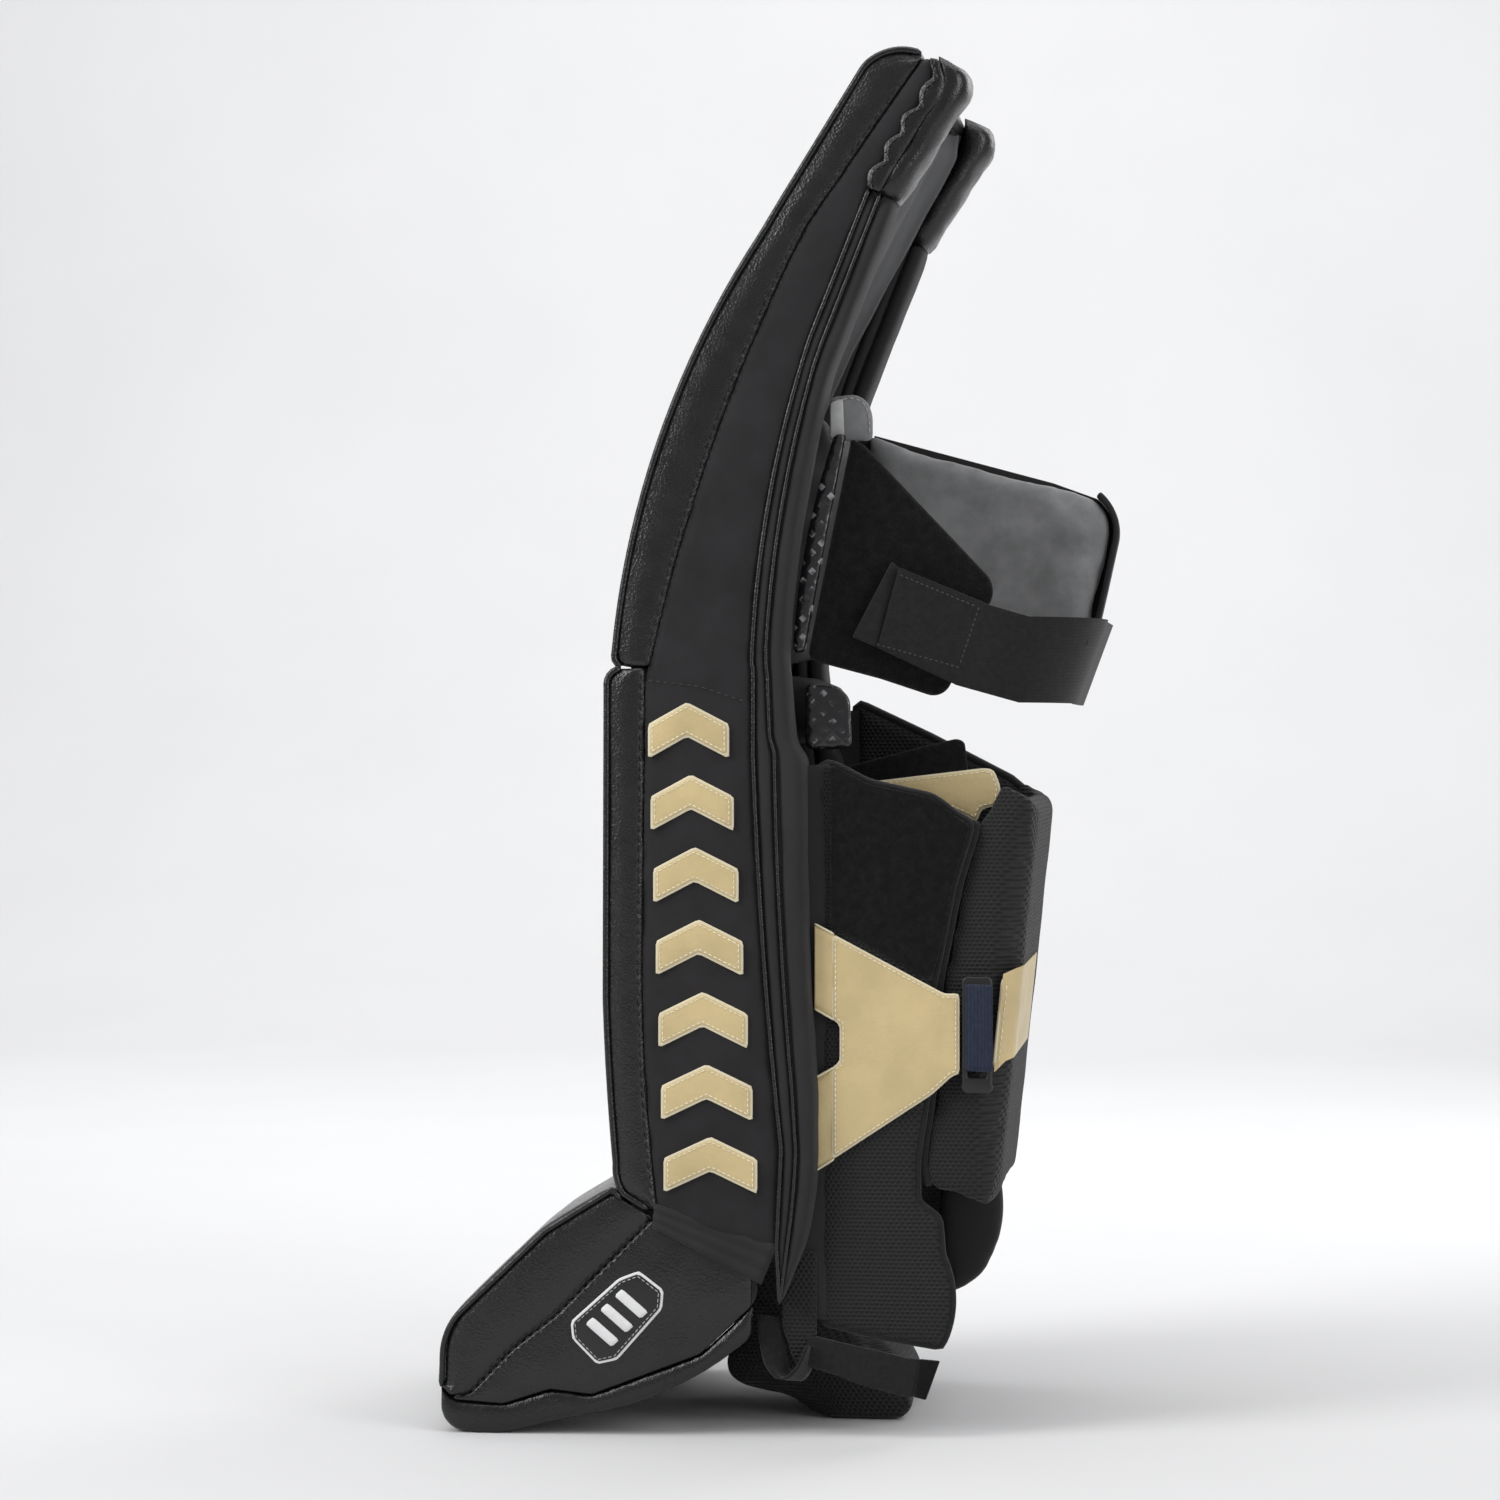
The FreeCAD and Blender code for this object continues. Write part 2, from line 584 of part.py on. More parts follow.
def check_and_export():
    """Refuse any failed object, then write one file for each sub-part."""
    for item in doc.Objects:
        failed = {"Invalid", "Error"} & set(item.State)
        if failed:
            raise RuntimeError(f"{item.Label}: {item.State}")
    for item in subparts:
        if item.Shape.isNull() or not item.Shape.isValid():
            raise RuntimeError(f"{item.Label}: bad shape")
    os.makedirs("parts", exist_ok=True)
    for item in subparts:
        item.Shape.exportStep(f"parts/{item.Label}.step")
    print(len(subparts), "sub-parts written")


make_thigh()
make_shin()
make_boot()
make_boot_binding()
make_toe_bridge()
make_side_emblems()
make_boot_badge()
make_face_bars()
make_knee_cradle()
make_knee_anchor_strip()
make_calf_top_pad()
make_heel_liner()
make_heel_strap_anchor()
make_hanging_loop()
make_knee_wing()
make_knee_flap()
make_knee_strap()
make_outer_wing()
make_v_strap()
make_buckle()
make_inner_wing()
make_calf_wrap()
make_calf_strap_tail()
make_tongue()
make_heel_strap()
doc.recompute()
check_and_export()
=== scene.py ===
import math

import bmesh
import bpy
import numpy as np
from mathutils import Matrix, Vector, noise
from mathutils.geometry import delaunay_2d_cdt


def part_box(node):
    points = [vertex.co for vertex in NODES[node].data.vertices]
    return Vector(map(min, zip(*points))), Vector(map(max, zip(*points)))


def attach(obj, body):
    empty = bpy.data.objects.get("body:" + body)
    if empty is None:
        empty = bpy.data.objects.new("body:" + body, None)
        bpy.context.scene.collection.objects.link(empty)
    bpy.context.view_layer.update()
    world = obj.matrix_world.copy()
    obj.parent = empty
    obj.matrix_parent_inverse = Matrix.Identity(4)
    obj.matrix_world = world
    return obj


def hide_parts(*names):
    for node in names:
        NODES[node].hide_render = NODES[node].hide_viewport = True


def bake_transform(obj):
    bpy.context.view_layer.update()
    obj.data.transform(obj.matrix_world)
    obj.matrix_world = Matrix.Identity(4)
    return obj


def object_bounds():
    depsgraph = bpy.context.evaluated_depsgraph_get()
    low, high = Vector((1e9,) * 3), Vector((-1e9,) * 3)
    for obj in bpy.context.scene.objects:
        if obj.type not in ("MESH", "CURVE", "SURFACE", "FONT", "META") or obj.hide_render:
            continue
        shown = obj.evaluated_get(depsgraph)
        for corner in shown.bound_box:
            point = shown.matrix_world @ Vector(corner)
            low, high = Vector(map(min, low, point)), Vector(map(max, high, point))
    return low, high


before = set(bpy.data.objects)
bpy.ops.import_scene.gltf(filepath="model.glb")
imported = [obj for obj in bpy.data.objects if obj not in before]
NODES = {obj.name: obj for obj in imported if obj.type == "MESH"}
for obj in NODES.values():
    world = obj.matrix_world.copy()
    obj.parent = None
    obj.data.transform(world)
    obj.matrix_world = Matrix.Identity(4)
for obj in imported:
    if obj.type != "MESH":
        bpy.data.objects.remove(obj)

CAD_BOX = [list(corner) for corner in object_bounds()]
MM = 0.001
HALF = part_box("shin_face")[1].y              # half of the pad's width
OUTER, INNER = -1, 1                         # the two sides of the leg, along y

# ------------------------------------------------------------------ materials


class Shader:
    """A principled material, with short calls for the nodes that it needs."""

    def __init__(self, name, roughness, sheen=0.0, coat=0.0, specular=0.5, metallic=0.0):
        self.material = bpy.data.materials.new(name)
        self.material.use_nodes = True
        self.nodes = self.material.node_tree.nodes
        self.links = self.material.node_tree.links
        self.bsdf = self.nodes["Principled BSDF"]
        settings = {"Roughness": roughness, "Sheen Weight": sheen, "Sheen Roughness": 0.5,
                    "Coat Weight": coat, "Coat Roughness": 0.25,
                    "Specular IOR Level": specular, "Metallic": metallic}
        for socket, value in settings.items():
            self.bsdf.inputs[socket].default_value = value
        self.place = self.nodes.new("ShaderNodeTexCoord").outputs["Object"]

    def add(self, kind, inputs):
        """A new node; each of its inputs named is a number or another node's output."""
        node = self.nodes.new(f"ShaderNode{kind}")
        for socket, value in inputs.items():
            if isinstance(value, (int, float)):
                node.inputs[socket].default_value = value
            else:
                self.links.new(value, node.inputs[socket])
        return node

    def math(self, operation, first, second=0.0):
        node = self.add("Math", {0: first, 1: second})
        node.operation = operation
        return node.outputs[0]

    def noise(self, scale, detail=3.0, roughness=0.55):
        settings = {"Scale": scale, "Detail": detail, "Roughness": roughness, "Vector": self.place}
        return self.add("TexNoise", settings).outputs["Fac"]

    def cells(self, size_mm):
        node = self.add("TexVoronoi", {"Scale": 1 / (size_mm * MM), "Vector": self.place})
        node.feature = "SMOOTH_F1"
        return node.outputs["Distance"]

    def ramp(self, value, stops):
        node = self.nodes.new("ShaderNodeValToRGB")
        elements = node.color_ramp.elements
        while len(elements) < len(stops):
            elements.new(0.5)
        for element, (position, colour) in zip(elements, stops):
            element.position = position
            element.color = (*colour, 1.0)
        self.links.new(value, node.inputs["Fac"])
        return node.outputs["Color"]

    def spread(self, value, low, high):
        """The middle of a noise's range, brought to run from low to high."""
        settings = {"Value": value, "From Min": 0.3, "From Max": 0.7, "To Min": low, "To Max": high}
        return self.add("MapRange", settings).outputs["Result"]

    def axes(self):
        return self.add("SeparateXYZ", {0: self.place}).outputs

    def bump(self, height, depth_mm, strength=1.0, below=None):
        settings = {"Distance": depth_mm * MM, "Strength": strength, "Height": height}
        if below is not None:
            settings["Normal"] = below
        return self.add("Bump", settings).outputs["Normal"]

    def finish(self, colour, normal, roughness=None):
        self.links.new(colour, self.bsdf.inputs["Base Color"])
        self.links.new(normal, self.bsdf.inputs["Normal"])
        if roughness is not None:
            self.links.new(roughness, self.bsdf.inputs["Roughness"])
        return self.material


def tint(colour, factor):
    return tuple(min(1.0, channel * factor) for channel in colour)


def leather(name, colour, roughness, grain=1.4, depth=0.35, contrast=0.16):
    """Synthetic leather: fine cell grain, faint creases, uneven gloss and scuffs."""
    shader = Shader(name, roughness, specular=0.5)
    wide = shader.noise(24, 5)
    base = shader.ramp(wide, [(0.32, tint(colour, 1 - contrast)), (0.68, tint(colour, 1 + contrast))])
    fine = shader.bump(shader.cells(grain), depth, 0.75)
    creases = shader.bump(shader.noise(230, 6, 0.65), 0.8, 0.35, fine)
    gloss = shader.spread(shader.noise(70, 5), roughness - 0.07, roughness + 0.09)
    return shader.finish(base, creases, gloss)


def weave(name, colour, pitch=0.8, depth=0.2, roughness=0.85, sheen=0.1, specular=0.3):
    """Plain woven nylon: two crossed threads, with faint puckers and fading."""
    shader = Shader(name, roughness, sheen=sheen, specular=specular)
    x, y, z = shader.axes()
    step = 2 * math.pi / (pitch * MM)
    warp = shader.math("SINE", shader.math("MULTIPLY", shader.math("ADD", x, y), step))
    weft = shader.math("SINE", shader.math("MULTIPLY", z, step))
    threads = shader.math("MULTIPLY", warp, weft)
    base = shader.ramp(shader.noise(38, 5), [(0.32, tint(colour, 0.82)), (0.68, tint(colour, 1.2))])
    fine = shader.bump(threads, depth, 0.5)
    return shader.finish(base, shader.bump(shader.noise(80, 4), 1.2, 0.2, fine))


def loop_pile(name, colour):
    """Fuzzy loop cloth: clumped pile whose colour follows its bump height, with painted shade in the gaps and
    a painted highlight on the tufts.
    """
    shader = Shader(name, 0.95, sheen=0.12, specular=0.12)
    tufts = shader.noise(700, 6, 0.75)
    clumps = shader.noise(170, 4)
    mixed = shader.math("MULTIPLY", tufts, shader.math("ADD", clumps, 0.5))
    # painted shade and highlight: the pile's height sets its colour, darker in the gaps and lighter on the
    # tufts
    base = shader.ramp(mixed, [(0.34, tint(colour, 0.3)), (0.52, colour), (0.72, tint(colour, 3.4))])
    return shader.finish(base, shader.bump(mixed, 2.5, 0.9))


def spacer_mesh(name, colour, across=3.4, down=2.6):
    """Open spacer mesh: staggered rows of oval holes, with painted shade in the holes and a painted highlight
    on the yarn between them.
    """
    shader = Shader(name, 0.75, sheen=0.08, specular=0.35)
    x, y, z = shader.axes()
    row_place = shader.math("DIVIDE", z, down * MM)
    odd_row = shader.math("FLOORED_MODULO", shader.math("FLOOR", row_place), 2.0)
    stagger = shader.math("MULTIPLY", odd_row, 0.5)
    turned = shader.math("SUBTRACT", x, y)
    column_place = shader.math("ADD", shader.math("DIVIDE", turned, across * MM), stagger)
    in_column = shader.math("SUBTRACT", shader.math("FRACT", column_place), 0.5)
    in_row = shader.math("SUBTRACT", shader.math("FRACT", row_place), 0.5)
    squares = shader.math("ADD", shader.math("MULTIPLY", in_column, in_column),
                          shader.math("MULTIPLY", in_row, in_row))
    yarn = shader.math("MULTIPLY", shader.math("SQRT", squares), 2.0)
    # painted shade and highlight: the yarn's height sets its colour, near black in the holes and lighter where
    # the yarn stands highest
    base = shader.ramp(yarn, [(0.42, tint(colour, 0.12)), (0.72, colour), (0.95, tint(colour, 1.9))])
    return shader.finish(base, shader.bump(yarn, 1.2, 0.8))


def ribbed(name, colour, pitch=1.3, depth=0.4, roughness=0.85, along="z"):
    """Elastic or webbing: ribs, lint and a little fading."""
    shader = Shader(name, roughness, sheen=0.15, specular=0.25)
    x, y, z = shader.axes()
    line = z if along == "z" else shader.math("ADD", x, y)
    ribs = shader.math("SINE", shader.math("MULTIPLY", line, 2 * math.pi / (pitch * MM)))
    base = shader.ramp(shader.noise(280, 5), [(0.35, tint(colour, 0.72)), (0.68, tint(colour, 1.4))])
    fine = shader.bump(ribs, depth, 0.5)
    return shader.finish(base, shader.bump(shader.noise(900, 2), 0.3, 0.5, fine))


def suede(name, colour):
    """Brushed microfibre: soft mottling where the nap lies both ways."""
    shader = Shader(name, 0.92, sheen=0.4, specular=0.2)
    nap = shader.noise(34, 6, 0.62)
    base = shader.ramp(nap, [(0.34, tint(colour, 0.78)), (0.5, colour), (0.66, tint(colour, 1.25))])
    fine = shader.bump(shader.noise(1200, 3), 0.25, 0.6)
    return shader.finish(base, shader.bump(shader.noise(60, 4), 1.4, 0.2, fine))


def diamond_strip(name):
    """Glossy black strip printed with small pale diamonds."""
    shader = Shader(name, 0.2, coat=0.3, specular=0.6)
    x, y, z = shader.axes()
    pitch = 6.0 * MM
    first = shader.math("PINGPONG", shader.math("ADD", x, z), pitch)
    second = shader.math("PINGPONG", shader.math("SUBTRACT", x, z), pitch)
    near = shader.math("MAXIMUM", first, second)
    diamond = shader.math("LESS_THAN", near, 2.6 * MM)
    patchy = shader.math("MULTIPLY", diamond, shader.noise(110, 3))
    base = shader.ramp(patchy, [(0.0, (0.005, 0.005, 0.006)), (0.50, (0.015, 0.015, 0.017)),
                                (0.62, (0.26, 0.26, 0.265))])
    return shader.finish(base, shader.bump(shader.math("MULTIPLY", near, 150.0), 0.6, 0.5))


def plastic(name, colour, roughness=0.35):
    """Moulded plastic with a fine matt texture."""
    shader = Shader(name, roughness, specular=0.5)
    base = shader.ramp(shader.noise(45, 4), [(0.3, tint(colour, 0.85)), (0.7, tint(colour, 1.2))])
    gloss = shader.spread(shader.noise(90, 4), roughness - 0.05, roughness + 0.1)
    return shader.finish(base, shader.bump(shader.noise(1600, 2), 0.08, 0.4), gloss)


def worn_metal(name, colour):
    shader = Shader(name, 0.3, metallic=1.0)
    scratches = shader.noise(700, 4)
    base = shader.ramp(scratches, [(0.3, tint(colour, 0.75)), (0.7, colour)])
    return shader.finish(base, shader.bump(scratches, 0.08, 0.4))


BLACK = (0.0078, 0.0078, 0.0084)
GOLD = (0.56, 0.44, 0.225)
CREAM = (0.66, 0.59, 0.42)
MATERIALS = {
    "black_leather": leather("black_leather", BLACK, 0.25),
    "edge_leather": leather("edge_leather", (0.0060, 0.0060, 0.0064), 0.24, 1.1, 0.3),
    "black_nylon": weave("black_nylon", (0.0150, 0.0135, 0.0150)),
    "rear_nylon": weave("rear_nylon", (0.0105, 0.0098, 0.0110), roughness=0.72, specular=0.4),
    "grey_lining": weave("grey_lining", (0.052, 0.053, 0.056), 1.3, 0.35, 0.9, 0.2),
    "gold_leather": leather("gold_leather", GOLD, 0.40, 1.1, 0.22, 0.10),
    "cream_edge": leather("cream_edge", CREAM, 0.5, 0.9, 0.1, 0.08),
    "grey_suede": suede("grey_suede", (0.205, 0.207, 0.210)),
    "black_loop": loop_pile("black_loop", (0.0026, 0.0026, 0.0028)),
    "black_elastic": ribbed("black_elastic", (0.0085, 0.0083, 0.0085), 0.9, 0.2),
    "binding_tape": ribbed("binding_tape", (0.0075, 0.0075, 0.0078), 0.9, 0.25, 0.75),
    "black_mesh": spacer_mesh("black_mesh", (0.0066, 0.0066, 0.0070)),
    "black_plastic": plastic("black_plastic", (0.009, 0.009, 0.010)),
    "navy_web": ribbed("navy_web", (0.010, 0.016, 0.038), 2.2, 0.5, 0.6, "x"),
    "patterned_strip": diamond_strip("patterned_strip"),
    "badge_white": leather("badge_white", (0.72, 0.72, 0.72), 0.35, 0.8, 0.05, 0.05),
    "badge_dark": leather("badge_dark", (0.010, 0.010, 0.011), 0.3, 0.8, 0.1),
    "dark_thread": plastic("dark_thread", (0.003, 0.003, 0.003), 0.55),
    "dull_thread": plastic("dull_thread", (0.030, 0.030, 0.031), 0.5),
    "pale_thread": plastic("pale_thread", (0.80, 0.75, 0.60), 0.6),
    "pale_label": weave("pale_label", (0.42, 0.42, 0.42), 0.9, 0.15),
    "grey_thread": plastic("grey_thread", (0.38, 0.38, 0.38), 0.6),
    "eyelet_metal": worn_metal("eyelet_metal", (0.60, 0.60, 0.60)),
}

# ------------------------------------------------------------------ lines read from the frame


def clean_mesh(node):
    """The CAD node's mesh with its split corners joined."""
    mesh = bmesh.new()
    mesh.from_mesh(NODES[node].data)
    bmesh.ops.remove_doubles(mesh, verts=mesh.verts, dist=0.005 * MM)
    mesh.normal_update()
    return mesh


def border_loops(faces):
    """Closed loops of vertices round a set of faces."""
    chosen = set(faces)
    after = {}
    for face in faces:
        for loop in face.loops:
            if sum(other in chosen for other in loop.edge.link_faces) == 1:
                after[loop.vert] = loop.link_loop_next.vert
    loops = []
    while after:
        start = min(after, key=lambda vertex: tuple(vertex.co))
        loop = []
        vertex = start
        while vertex in after:
            loop.append(vertex)
            vertex = after.pop(vertex)
        loops.append(loop)
    return loops


def length_of(points, closed=True):
    ends = points[1:] + points[:1] if closed else points[1:]
    return sum((Vector(b) - Vector(a)).length for a, b in zip(points, ends))


def slab(node, toward=(0, -1, 0)):
    """Local frame, outlines (longest first) and half thickness of a CAD node that is a flat slab.

    The frame's depth runs away from `toward`, and its other two axes lie in the slab.
    """
    mesh = clean_mesh(node)
    groups = {}
    for face in mesh.faces:
        if face.normal.dot(Vector(toward)) > 0.1:
            groups.setdefault(tuple(round(value, 2) for value in face.normal), []).append(face)
    group = max(groups.values(), key=lambda faces: sum(face.calc_area() for face in faces))
    normal = max(group, key=lambda face: face.calc_area()).normal.copy()
    up = (Vector((0, 0, 1)) - normal * normal.z).normalized()
    depth = -normal
    right = depth.cross(up)
    heights = [vertex.co.dot(normal) for vertex in mesh.verts]
    top, foot = max(heights), min(heights)
    flat = [face for face in group if all(top - vertex.co.dot(normal) < 0.05 * MM for vertex in face.verts)]
    place = Matrix((right, depth, up)).transposed().to_4x4()
    place.translation = normal * (top + foot) / 2
    outlines = [[(vertex.co.dot(right), vertex.co.dot(up)) for vertex in loop] for loop in border_loops(flat)]
    outlines.sort(key=length_of, reverse=True)
    mesh.free()
    return place, outlines, (top - foot) / 2


def corner_near(loop, spot):
    return min(range(len(loop)), key=lambda index: math.dist(loop[index], (spot[0] * MM, spot[1] * MM)))


def side_line(node, start, end, rear=False):
    """The front or rear way round a node's side outline.

    It runs between the corners nearest to two (x, z) spots in mm.
    """
    loop = slab(node)[1][0]
    first, last = corner_near(loop, start), corner_near(loop, end)
    forth = [loop[(first + step) % len(loop)] for step in range((last - first) % len(loop) + 1)]
    back = [loop[(first - step) % len(loop)] for step in range((first - last) % len(loop) + 1)]
    ways = sorted((forth, back), key=lambda path: np.mean([x for x, _ in spaced(path, 2)]))
    return ways[1 if rear else 0]


def evenly(points, count):
    """The same open line with `count` evenly spaced points."""
    line = np.array([tuple(point) for point in points], float)
    steps = np.linalg.norm(np.diff(line, axis=0), axis=1)
    along = np.concatenate([[0.0], np.cumsum(steps)])
    wanted = np.linspace(0, along[-1], count)
    return np.stack([np.interp(wanted, along, line[:, axis]) for axis in range(line.shape[1])], axis=1)


def spaced(points, gap_mm):
    """The same open line with points about `gap_mm` apart."""
    total = length_of([Vector(tuple(point)) for point in points], closed=False)
    return evenly(points, max(2, round(total / (gap_mm * MM)) + 1))


def softened(line, rounds=2):
    """The line with its kinks eased and its two ends kept."""
    line = np.array(line, float)
    for _ in range(rounds):
        line[1:-1] = (line[:-2] + 2 * line[1:-1] + line[2:]) / 4
    return line


def curve(points_mm, gap_mm=3):
    """A smooth open line through points given in mm, of two or three coordinates."""
    points = [Vector(point) * MM for point in points_mm]
    line = []
    for index in range(len(points) - 1):
        a = points[max(index - 1, 0)]
        b, c = points[index], points[index + 1]
        d = points[min(index + 2, len(points) - 1)]
        for part in range(12):
            t = part / 12
            line.append(0.5 * (2 * b + (c - a) * t + (2 * a - 5 * b + 4 * c - d) * t * t
                               + (3 * b - a - 3 * c + d) * t ** 3))
    line.append(points[-1])
    return spaced(line, gap_mm)


def mm_outline(*points):
    """An outline given in mm, in metres."""
    return [(x * MM, z * MM) for x, z in points]


def mm_box(node):
    """The two corners of a node's box, in mm."""
    return [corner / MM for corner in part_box(node)]


def level(y_mm):
    """The plane of a flat piece that faces sideways at one y."""
    return Matrix.Translation((0, y_mm * MM, 0))


def ripple(place, size_mm, height_mm):
    """Smooth random height, about `height_mm` either way, with bumps about `size_mm` apart."""
    return height_mm * MM * noise.noise(Vector(place) / (size_mm * MM))


# ------------------------------------------------------------------ mesh builders


def mesh_object(name, vertices, faces, material):
    mesh = bpy.data.meshes.new(name)
    mesh.from_pydata([tuple(vertex) for vertex in vertices], [], faces)
    tidy = bmesh.new()
    tidy.from_mesh(mesh)
    bmesh.ops.remove_doubles(tidy, verts=tidy.verts, dist=0.01 * MM)
    bmesh.ops.dissolve_degenerate(tidy, edges=tidy.edges, dist=0.01 * MM)
    bmesh.ops.recalc_face_normals(tidy, faces=tidy.faces)
    tidy.to_mesh(mesh)
    tidy.free()
    mesh.materials.append(MATERIALS[material])
    mesh.shade_smooth()
    item = bpy.data.objects.new(name, mesh)
    bpy.context.scene.collection.objects.link(item)
    return item


def shell(name, outside, inside, material):
    """A closed skin from two matching grids of points, its outside and its inside."""
    outside, inside = np.array(outside), np.array(inside)
    rows, columns = outside.shape[:2]
    vertices = np.concatenate([outside.reshape(-1, 3), inside.reshape(-1, 3)])
    under = rows * columns
    faces = []
    for row in range(rows - 1):
        for column in range(columns - 1):
            a = row * columns + column
            b, c, d = a + 1, a + columns + 1, a + columns
            faces.append((a, b, c, d))
            faces.append((a + under, d + under, c + under, b + under))
    rim = list(range(columns))
    rim += [row * columns + columns - 1 for row in range(1, rows)]
    rim += [(rows - 1) * columns + column for column in range(columns - 2, -1, -1)]
    rim += [row * columns for row in range(rows - 2, 0, -1)]
    for first, second in zip(rim, rim[1:] + rim[:1]):
        faces.append((first, second, second + under, first + under))
    return mesh_object(name, vertices, faces, material)


def loft(name, rings, material):
    """A closed skin over convex rings of equal point count."""
    count = len(rings[0])
    vertices = [point for ring in rings for point in ring]
    faces = []
    for row in range(len(rings) - 1):
        for column in range(count):
            after = (column + 1) % count
            base = row * count
            faces.append((base + column, base + after, base + count + after, base + count + column))
    for row in (0, len(rings) - 1):
        vertices.append(np.mean([tuple(point) for point in rings[row]], axis=0))
        for column in range(count):
            faces.append((row * count + column, row * count + (column + 1) % count, len(vertices) - 1))
    return mesh_object(name, vertices, faces, material)


def cord(name, path, radius_mm, material, flat=1.0, up=(0, 1, 0), sides=8, closed=False):
    """A round cord along a path; `flat` below 1 thins it along `up`."""
    path = [Vector(tuple(point)) for point in path]
    rings = []
    for index, point in enumerate(path):
        ahead = path[(index + 1) % len(path)] if closed else path[min(index + 1, len(path) - 1)]
        tangent = (ahead - (path[index - 1] if closed or index else point)).normalized()
        across = tangent.cross(Vector(up)).normalized()
        rise = across.cross(tangent).normalized()
        size = radius_mm * MM * (0.5 if not closed and index in (0, len(path) - 1) else 1.0)
        turns = [2 * math.pi * step / sides for step in range(sides)]
        rings.append([point + across * math.cos(turn) * size + rise * math.sin(turn) * size * flat
                      for turn in turns])
    if not closed:
        return loft(name, rings, material)
    vertices = [point for ring in rings for point in ring]
    faces = []
    for row in range(len(rings)):
        for column in range(sides):
            after = (column + 1) % sides
            here, there = row * sides, (row + 1) % len(rings) * sides
            faces.append((here + column, here + after, there + after, there + column))
    return mesh_object(name, vertices, faces, material)


def stitches(name, path, material, up=(0, -1, 0), length=3.4, gap=1.8, thick=0.40):
    """A row of sewn stitches along a path: short rounded bars, all in one mesh."""
    line = [Vector(tuple(point)) for point in spaced(path, 0.5)]
    rise = Vector(up).normalized()
    vertices = []
    faces = []
    start = 0
    while start + length / 0.5 < len(line):
        stop = int(start + length / 0.5)
        tangent = (line[stop] - line[start]).normalized()
        across = tangent.cross(rise).normalized()
        base = len(vertices)
        for part, (size, sunk) in enumerate(((0.5, 0.5), (1.0, 0.0), (1.0, 0.0), (0.5, 0.5))):
            centre = line[start + (stop - start) * part // 3] - rise * sunk * thick * MM
            for corner in range(6):
                turn = math.pi * corner / 3
                way = across * math.cos(turn) + rise * math.sin(turn)
                vertices.append(centre + way * size * thick * MM)
        for part in range(3):
            for corner in range(6):
                after = (corner + 1) % 6
                first = base + part * 6
                faces.append((first + corner, first + after, first + 6 + after, first + 6 + corner))
        faces.append(tuple(base + 5 - corner for corner in range(6)))
        faces.append(tuple(base + 18 + corner for corner in range(6)))
        start = stop + int(gap / 0.5)
    return mesh_object(name, vertices, faces, material)


def rim_distances(points, loop):
    """Distance from each point to the nearest side of a closed loop."""
    points = np.array(points, float).reshape(-1, 1, 2)
    starts = np.array(loop, float)
    spans = np.roll(starts, -1, axis=0) - starts
    sizes = np.maximum((spans ** 2).sum(axis=1), 1e-18)
    parts = np.clip(((points - starts) * spans).sum(axis=2) / sizes, 0, 1)
    gaps = points - starts - parts[..., None] * spans
    return np.sqrt((gaps ** 2).sum(axis=2)).min(axis=1)


def are_inside(points, loop):
    points = np.array(points, float).reshape(-1, 2)
    odd = np.zeros(len(points), bool)
    for (ax, az), (bx, bz) in zip(loop, loop[1:] + loop[:1]):
        if abs(bz - az) < 1e-12:
            continue
        crosses = (az > points[:, 1]) != (bz > points[:, 1])
        reach = (bx - ax) * (points[:, 1] - az) / (bz - az) + ax
        odd ^= crosses & (points[:, 0] < reach)
    return odd


def rounded(loop, radius_mm, steps=4):
    """The loop with its corners rounded off."""
    result = []
    for index, point in enumerate(loop):
        corner = Vector(point)
        back = Vector(loop[index - 1]) - corner
        forth = Vector(loop[(index + 1) % len(loop)]) - corner
        room = min(radius_mm * MM, back.length * 0.45, forth.length * 0.45)
        if room < 0.05 * MM or back.angle(forth) > math.radians(165):
            result.append(tuple(corner))
            continue
        first = corner + back.normalized() * room
        last = corner + forth.normalized() * room
        for step in range(steps + 1):
            t = step / steps
            result.append(tuple(first * (1 - t) ** 2 + corner * 2 * t * (1 - t) + last * t ** 2))
    return result


def inset(loop, distance_mm):
    """The loop moved inwards, or outwards for a negative distance."""
    points = [Vector(point) for point in loop]
    area = sum(a.x * b.y - b.x * a.y for a, b in zip(points, points[1:] + points[:1]))
    turn = 1 if area > 0 else -1
    result = []
    for index, point in enumerate(points):
        before = (point - points[index - 1]).normalized()
        after = (points[(index + 1) % len(points)] - point).normalized()
        normals = [Vector((-way.y, way.x)) * turn for way in (before, after)]
        middle = (normals[0] + normals[1]).normalized()
        reach = max(0.35, middle.dot(normals[0]))
        result.append(tuple(point + middle * distance_mm * MM / reach))
    return result


def placed(points, place, depth=0.0):
    """Points of a slab's own plane brought into the frame."""
    return [place @ Vector((x, depth, z)) for x, z in points]


